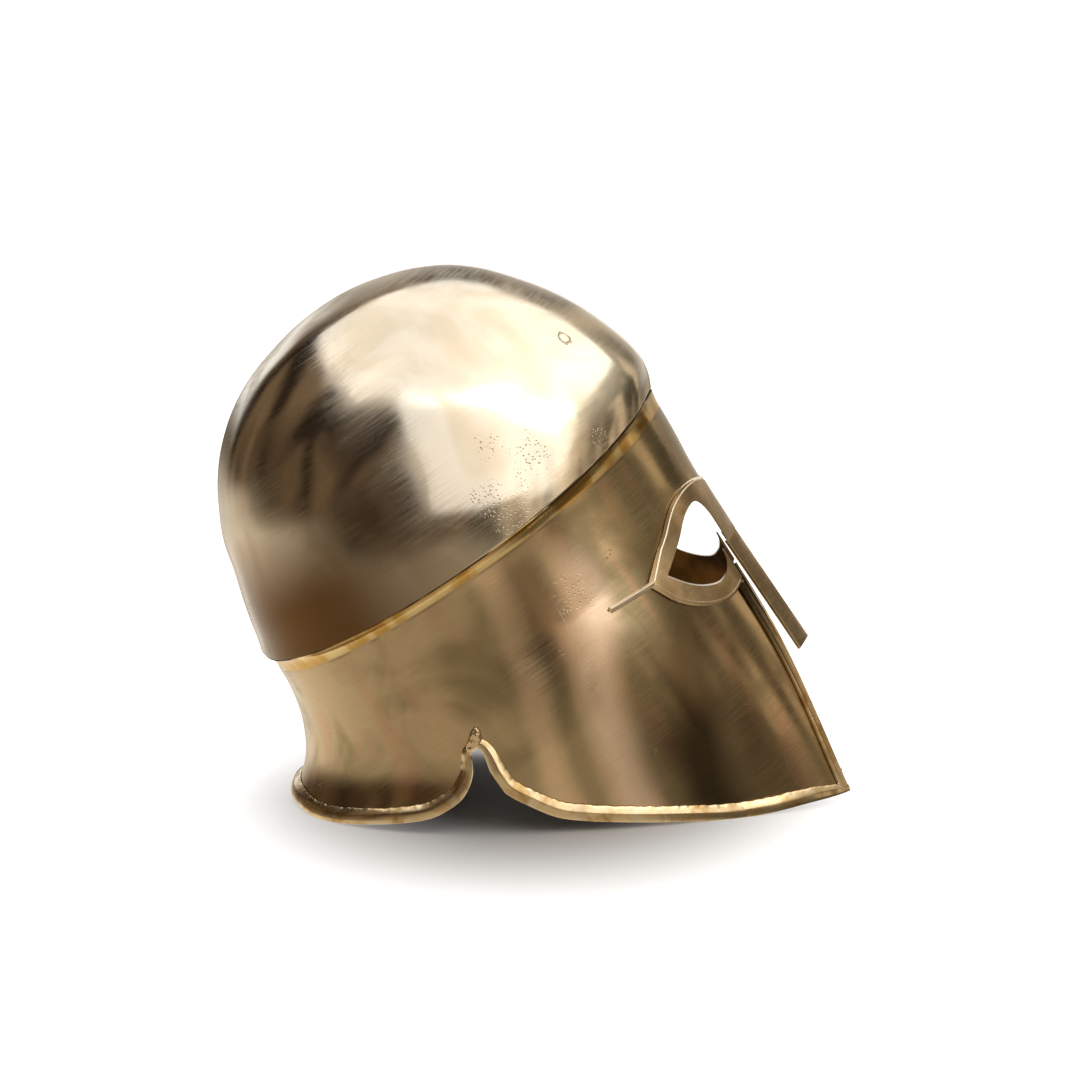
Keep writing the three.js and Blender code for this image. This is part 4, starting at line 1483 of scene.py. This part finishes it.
            # Flux and solder that the wheel didn't reach, in the corner under the crown's edge
            grime = nodes.product(nodes.mask(joint, 1.4, 0.3), nodes.mask(clouds, 0.4, 0.56))
            colour = nodes.blend(grime, colour, srgb("#3A2E1C"))
            seam = nodes.product(nodes.mask(joint, 11.6, 10.4), nodes.mask(joint, 8.8, 10.0))
            seam = nodes.product(seam, nodes.mask(streaks, 0.35, 0.65), 0.4)
            colour = nodes.blend(seam, colour, srgb("#4E3F26"))
            roughness = nodes.maths("MULTIPLY_ADD", grime, 0.3, roughness)
        nodes.metal(colour, roughness, height, MM)
        return material

    def lay_tarnish_and_reflection_bands(
        self, nodes: Nodes, standing: bpy.types.NodeSocket, colour: bpy.types.NodeSocket
    ) -> bpy.types.NodeSocket:
        """Colour with the upright bands laid over it, partly real tarnish and partly painted reflections of
        the room, light and dark.
        """
        waver = 30.0
        ragged = nodes.noise(standing, 15.0, 1.0)
        along, _, up = nodes.add("SeparateXYZ", standing).outputs
        along = nodes.maths("MULTIPLY_ADD", ragged, waver * MM, along)
        along = nodes.maths("MULTIPLY_ADD", up, 0.3, along)
        on_cheek = nodes.mask(up, 0.15, 0.12)
        for band in self.bands:
            middle = (band.along + waver / 2) * MM
            away = nodes.maths("ABSOLUTE", nodes.maths("SUBTRACT", along, middle))
            cover = nodes.mask(away, band.half_width * MM * 1.25, band.half_width * MM * 0.15)
            cover = nodes.product(cover, band.share, on_cheek)
            colour = nodes.blend(cover, colour, srgb(band.colour))
        return colour

    def wheel_lines(self, nodes: Nodes, wearing: bpy.types.NodeSocket) -> bpy.types.NodeSocket:
        """Drag lines of the buffing wheel, about twice as coarse as real so that they show."""
        drag = 26
        across = nodes.add(
            "Mapping", wearing, in_Rotation=(0, self.line_turn, 0), in_Scale=(1, 1, drag)
        ).outputs[0]
        return nodes.noise(across, 1000 / (self.line_mm * drag), 3.0, in_Roughness=0.65)

    @staticmethod
    def scratches(
        nodes: Nodes, wearing: bpy.types.NodeSocket, streaks: bpy.types.NodeSocket
    ) -> bpy.types.NodeSocket:
        """Fine long scratches, in some places."""
        field = nodes.noise(wearing, 22.0, 0.0, in_Distortion=0.4)
        off_line = nodes.maths("ABSOLUTE", nodes.maths("SUBTRACT", field, 0.5))
        return nodes.product(nodes.mask(off_line, 0.0014, 0.0004), nodes.mask(streaks, 0.6, 0.66))

    def ring_mark(self, nodes: Nodes, wearing: bpy.types.NodeSocket) -> bpy.types.NodeSocket:
        """Small ring-shaped dent."""
        waver = 4.0
        ragged = nodes.noise(wearing, 330.0, 1.0)
        distance = nodes.maths("MULTIPLY_ADD", ragged, waver * MM, nodes.away_from(wearing, self.ring))
        edge = (self.ring.radius + waver / 2) * MM
        from_edge = nodes.maths("ABSOLUTE", nodes.maths("SUBTRACT", distance, edge))
        return nodes.mask(from_edge, 0.001, 0.0001)

    def pits(self, nodes: Nodes, wearing: bpy.types.NodeSocket) -> bpy.types.NodeSocket:
        """Small pits, in clusters and here and there."""
        cells = nodes.add("TexVoronoi", wearing, in_Scale=1000 / self.pit_mm, in_Randomness=1.0)
        pits = nodes.mask(cells.outputs["Distance"], 0.34, 0.16)
        share = nodes.mask(nodes.noise(wearing, 55.0, 2.0), 0.74 - self.loose_pits, 0.8)
        for spot in self.pit_clusters:
            radius = spot.radius * MM
            ragged = nodes.noise(wearing, 160.0, 2.0)
            reach = nodes.maths("MULTIPLY_ADD", ragged, radius * 1.6, nodes.away_from(wearing, spot))
            share = nodes.maths("MAXIMUM", share, nodes.mask(reach, radius * 1.75, radius * 1.1))
        return nodes.product(pits, share)


@dataclass(frozen=True)
class InsideBrass:
    """Unpolished inner side of the sheet: brown fire scale over brass, dull, with hammer marks."""

    name: str = "fire_scaled_brass"
    scale: str = "#6A4820"
    dark: str = "#2C1B0C"

    def build(self) -> bpy.types.Material:
        """Make the material."""
        material = bpy.data.materials.new(self.name)
        nodes = Nodes(material)
        coordinates = nodes.add("TexCoord").outputs["Object"]
        clouds = nodes.noise(coordinates, 30.0, 4.0)
        marks = nodes.add("TexVoronoi", coordinates, feature="SMOOTH_F1", in_Scale=90.0).outputs["Distance"]
        colour = nodes.blend(nodes.mask(clouds, 0.35, 0.65), srgb(self.scale), srgb(self.dark))
        roughness = nodes.maths("MULTIPLY_ADD", clouds, 0.3, 0.3)
        nodes.metal(colour, roughness, marks, 0.4 * MM)
        return material


class Zone(Enum):
    """Which part of the sheet a piece's joint distance is measured on."""

    ABOVE = "above the crown's edge"
    BELOW = "below the crown's edge"


def mark_joint(piece: bpy.types.Object, zone: Zone, form: HelmetForm = FORM) -> None:
    """Store each point's distance from the crown's joint, in millimetres.

    Args:
        piece: Piece in the wearing pose.
        zone: Side of the joint that it lies on.
        form: Form of the helmet.
    """
    attribute = piece.data.attributes.new("from_joint", "FLOAT", "POINT")
    for vertex, stored in zip(piece.data.vertices, attribute.data):
        x, y, z = vertex.co / MM
        aside = clamp(abs(y) / (form.crown_width / 2))
        if x < form.middle:
            aside **= form.back_fullness / 2
        sag = form.crown_edge_sag * aside**1.5
        if zone is Zone.ABOVE:
            stored.value = max(0.0, z + sag)
            continue
        depth = max(0.0, -z - form.gap - sag)
        for _ in range(6):
            depth = max(0.0, -z - form.gap - sag * max(0.0, 1 - depth / form.sag_reach) ** 2)
        stored.value = depth


@dataclass(frozen=True)
class Studio:
    """White sweep, softboxes and the camera, as in a product photograph.

    The helmet mirrors the room, so the room is lit the way its reflections show: bright overhead and ahead
    on the right, dark on the left, and a pale backdrop behind.
    """

    lens_mm: float = 100.0
    distance: float = 1.5
    rise: float = math.radians(8.5)
    target: Row = (0.0025, 0.0, 0.1285)

    def build(self) -> None:
        """Set up the room, the floor, the lights and the camera."""
        bpy.context.scene.view_settings.view_transform = "Standard"
        self.room()
        self.floor()
        self.softbox("overhead", (0.12, 0.05, 1.5), (2.7, 2.7), 1.15, (0.12, 0.05, 0.13))
        self.softbox("window", (0.72, -1.85, 1.35), (3.2, 2.0), 0.98, (0, 0, 0.2))
        wash = self.softbox("floor_wash", (-0.1, 0.9, 1.6), (1.2, 1.2), 3.0, (0, 0, 0))
        wash.visible_glossy = False
        self.camera()

    @staticmethod
    def room() -> None:
        """Make the room that the metal mirrors, with a white backdrop for the camera."""
        world = bpy.data.worlds.new("studio")
        bpy.context.scene.world = world
        nodes = Nodes(world)
        way = nodes.add("TexCoord").outputs["Generated"]
        x, y, z = nodes.add("SeparateXYZ", way).outputs
        upright = nodes.add("Mapping", way, in_Scale=(1, 1, 0.22)).outputs[0]
        shapes = nodes.noise(upright, 3.4, 3.0, in_Distortion=0.5)
        left = nodes.blend(nodes.mask(shapes, 0.4, 0.62), srgb("#241C15"), srgb("#725F4A"))
        bands = nodes.noise(upright, 6.5, 1.0, in_Distortion=0.3)
        right = nodes.blend(nodes.mask(bands, 0.43, 0.57), srgb("#4C4638"), srgb("#DCC8AC"))
        right = nodes.blend(nodes.mask(z, 0.2, 0.8), right, srgb("#D2CABA"))
        walls = nodes.blend(nodes.mask(x, 0.0, 0.6), left, right)
        ground = nodes.blend(nodes.mask(y, -1.0, 1.0), srgb("#B8AC98"), srgb("#FFF4E2"))
        ground = nodes.blend(nodes.mask(x, 0.5, 0.75), ground, srgb("#5E5648"))
        walls = nodes.blend(nodes.mask(z, 0.0, -0.25), walls, ground)
        backdrop = nodes.product(nodes.mask(y, 0.8, 0.96), nodes.mask(z, -0.04, 0.1))
        walls = nodes.blend(backdrop, walls, (1.2, 1.2, 1.2, 1))
        mirrored = nodes.add("Background", walls, 1.0)
        seen = nodes.add("Background", (1, 1, 1, 1), 1.0)
        ray = nodes.add("LightPath").outputs["Is Camera Ray"]
        both = nodes.add("MixShader", ray, mirrored.outputs[0], seen.outputs[0])
        nodes.add("OutputWorld", both.outputs[0])

    @staticmethod
    def floor() -> None:
        """Lay the pale floor. It glows white away from the helmet and not near it, a painted shadow round
        the helmet's foot added to the real one.
        """
        Bench.clear()
        bpy.ops.mesh.primitive_plane_add(size=40)
        floor = bpy.context.object
        floor.name = "floor"
        material = bpy.data.materials.new("pale_floor_painted_shadow")
        nodes = Nodes(material)
        place = nodes.add("TexCoord").outputs["Object"]
        oval = nodes.add("Mapping", place, in_Scale=(1.5, 1, 1)).outputs[0]
        away = nodes.add("VectorMath", oval, operation="LENGTH").outputs["Value"]
        # Painted shadow: the floor's glow is zero right round the helmet and full from about 0.3 m away
        shader = nodes.add(
            "BsdfPrincipled", in_Base_Color=srgb("#A6A5A4"), in_Roughness=0.95,
            in_Emission_Strength=nodes.mask(away, 0.07, 0.3),
        )
        shader.inputs["Emission Color"].default_value = (1, 1, 1, 1)
        nodes.add("OutputMaterial", shader.outputs[0])
        floor.data.materials.append(material)
        floor.visible_glossy = False

    @staticmethod
    def softbox(name: str, place: Row, size: Place, glow: float, facing: Row) -> bpy.types.Object:
        """Hang one softbox.

        Args:
            name: Name of the light.
            place: Where it hangs, in metres.
            size: Width and height in metres.
            glow: How bright its face is.
            facing: Point that it faces.

        Returns:
            The light.
        """
        data = bpy.data.lights.new(name, "AREA")
        data.shape = "RECTANGLE"
        data.size, data.size_y = size
        data.energy = glow * math.pi * size[0] * size[1]
        light = bpy.data.objects.new(name, data)
        bpy.context.collection.objects.link(light)
        light.location = place
        way = Vector(facing) - light.location
        light.rotation_euler = way.to_track_quat("-Z", "Y").to_euler()
        light.visible_camera = False
        return light

    def camera(self) -> None:
        """Stand the camera where the photograph was taken from."""
        data = bpy.data.cameras.new("camera")
        data.lens = self.lens_mm
        data.sensor_width = 36
        camera = bpy.data.objects.new("camera", data)
        bpy.context.collection.objects.link(camera)
        back = Vector((0, -math.cos(self.rise), math.sin(self.rise)))
        camera.location = Vector(self.target) + self.distance * back
        camera.rotation_euler = (math.pi / 2 - self.rise, 0, 0)
        bpy.context.scene.camera = camera


def main() -> None:
    """Build, settle and dress every piece."""
    logging.basicConfig(level=logging.INFO, format="%(name)s: %(message)s")
    crown = CrownBowl().build()
    standing = Standing(crown, FORM.lean)
    shell = FaceAndNeckShell().build()
    mark_joint(crown, Zone.ABOVE)
    mark_joint(shell, Zone.BELOW)
    eye_frame = EyeFrame()
    frame_left = eye_frame.build()
    frame_right = Bench.mirrored(frame_left, "eye_frame_right")
    neck = Rims().neck()
    cheek_left = Rims().cheek(eye_frame.bottom())
    cheek_right = Bench.mirrored(cheek_left, "cheek_rim_bead_right")
    nasal = NasalGuard().build()

    to_wearing = standing.matrix.inverted()
    dome = PolishedBrass(
        "buffed_dome_brass", bright="#ECE0CB", tarnished="#DCCDB2", flushed="#E2CDB2", roughness=0.12,
        streak_share=0.3, loose_pits=0.02,
        pit_clusters=(
            Spot((152, -92, -3), 15), Spot((174, -85, 15), 14), Spot((147, -93, 9), 10),
            Spot((204, -66, 2), 8), Spot((160, -88, 30), 9),
        ),
        # The lower back of the dome carries painted shade
        ring=Spot((216, -41, 48), 3.2), low_painted_shade=True,
    ).build(to_wearing)
    face = PolishedBrass(
        "olive_face_brass", bright="#CBB48F", tarnished="#A3926F", flushed="#D0A284", roughness=0.15,
        cloud_mm=48, streak_mm=12, streak_length=9, streak_share=0.45, line_depth_mm=0.0025,
        loose_pits=0.05, joint=True,
        # Upright bands on the cheeks: painted reflections of the room, light and dark, mixed with real
        # tarnish
        bands=(
            TarnishAndReflectionBand(-28, 12, "#DCC098", 0.4), TarnishAndReflectionBand(20, 11, "#F4D4AC", 0.75), TarnishAndReflectionBand(37, 7, "#8E7C5C", 0.5),
            TarnishAndReflectionBand(57, 13, "#FFE2C4", 1.0), TarnishAndReflectionBand(96, 19, "#54462F", 0.8), TarnishAndReflectionBand(124, 8, "#A08464", 0.4),
            TarnishAndReflectionBand(144, 9, "#A89474", 0.3),
        ),
        pit_clusters=(Spot((153, -82, -52), 12),),
    ).build(to_wearing)
    frames = PolishedBrass(
        "filed_frame_brass_and_painted_light", bright="#D6BD96", tarnished="#A48C66", flushed="#CBA27C", roughness=0.22,
        # The frames' edges carry painted highlights
        cloud_mm=22, streak_mm=8, line_mm=0.6, with_painted_light=True,
    ).build(to_wearing)
    golden = PolishedBrass(
        "bright_rim_brass", bright="#EBD3A8", tarnished="#C19C62", flushed="#F0E4CA", roughness=0.16,
        # The cheek's front strip carries painted shade and a painted highlight
        cloud_mm=14, streak_mm=9, streak_length=2, line_mm=0.6, with_painted_light=True,
    ).build(to_wearing)
    inside = InsideBrass().build()
    for piece, node, slot, finishes in (
        (crown, "crown_bowl", "crown_brass", (dome, inside)),
        (shell, "face_and_neck_shell", "face_brass", (face, inside)),
        (frame_left, "eye_rim_left", "face_brass", (frames,)),
        (frame_right, "eye_rim_right", "face_brass", (frames,)),
        (nasal, "nasal_guard", "face_brass", (frames,)),
        (neck, "neck_rim", "rim_brass", (golden,)),
        (cheek_left, "cheek_rim_left", "rim_brass", (golden,)),
        (cheek_right, "cheek_rim_right", "rim_brass", (golden,)),
    ):
        standing.settle(piece)
        if slot == "rim_brass":
            Bench.slice_off(piece, Vector((0, 0, 0)), Vector((0, 0, -1)))
        Bench.smooth(piece)
        finish_piece(piece, (node,), finishes)
    Studio().build()


if __name__ == "__main__":
    main()
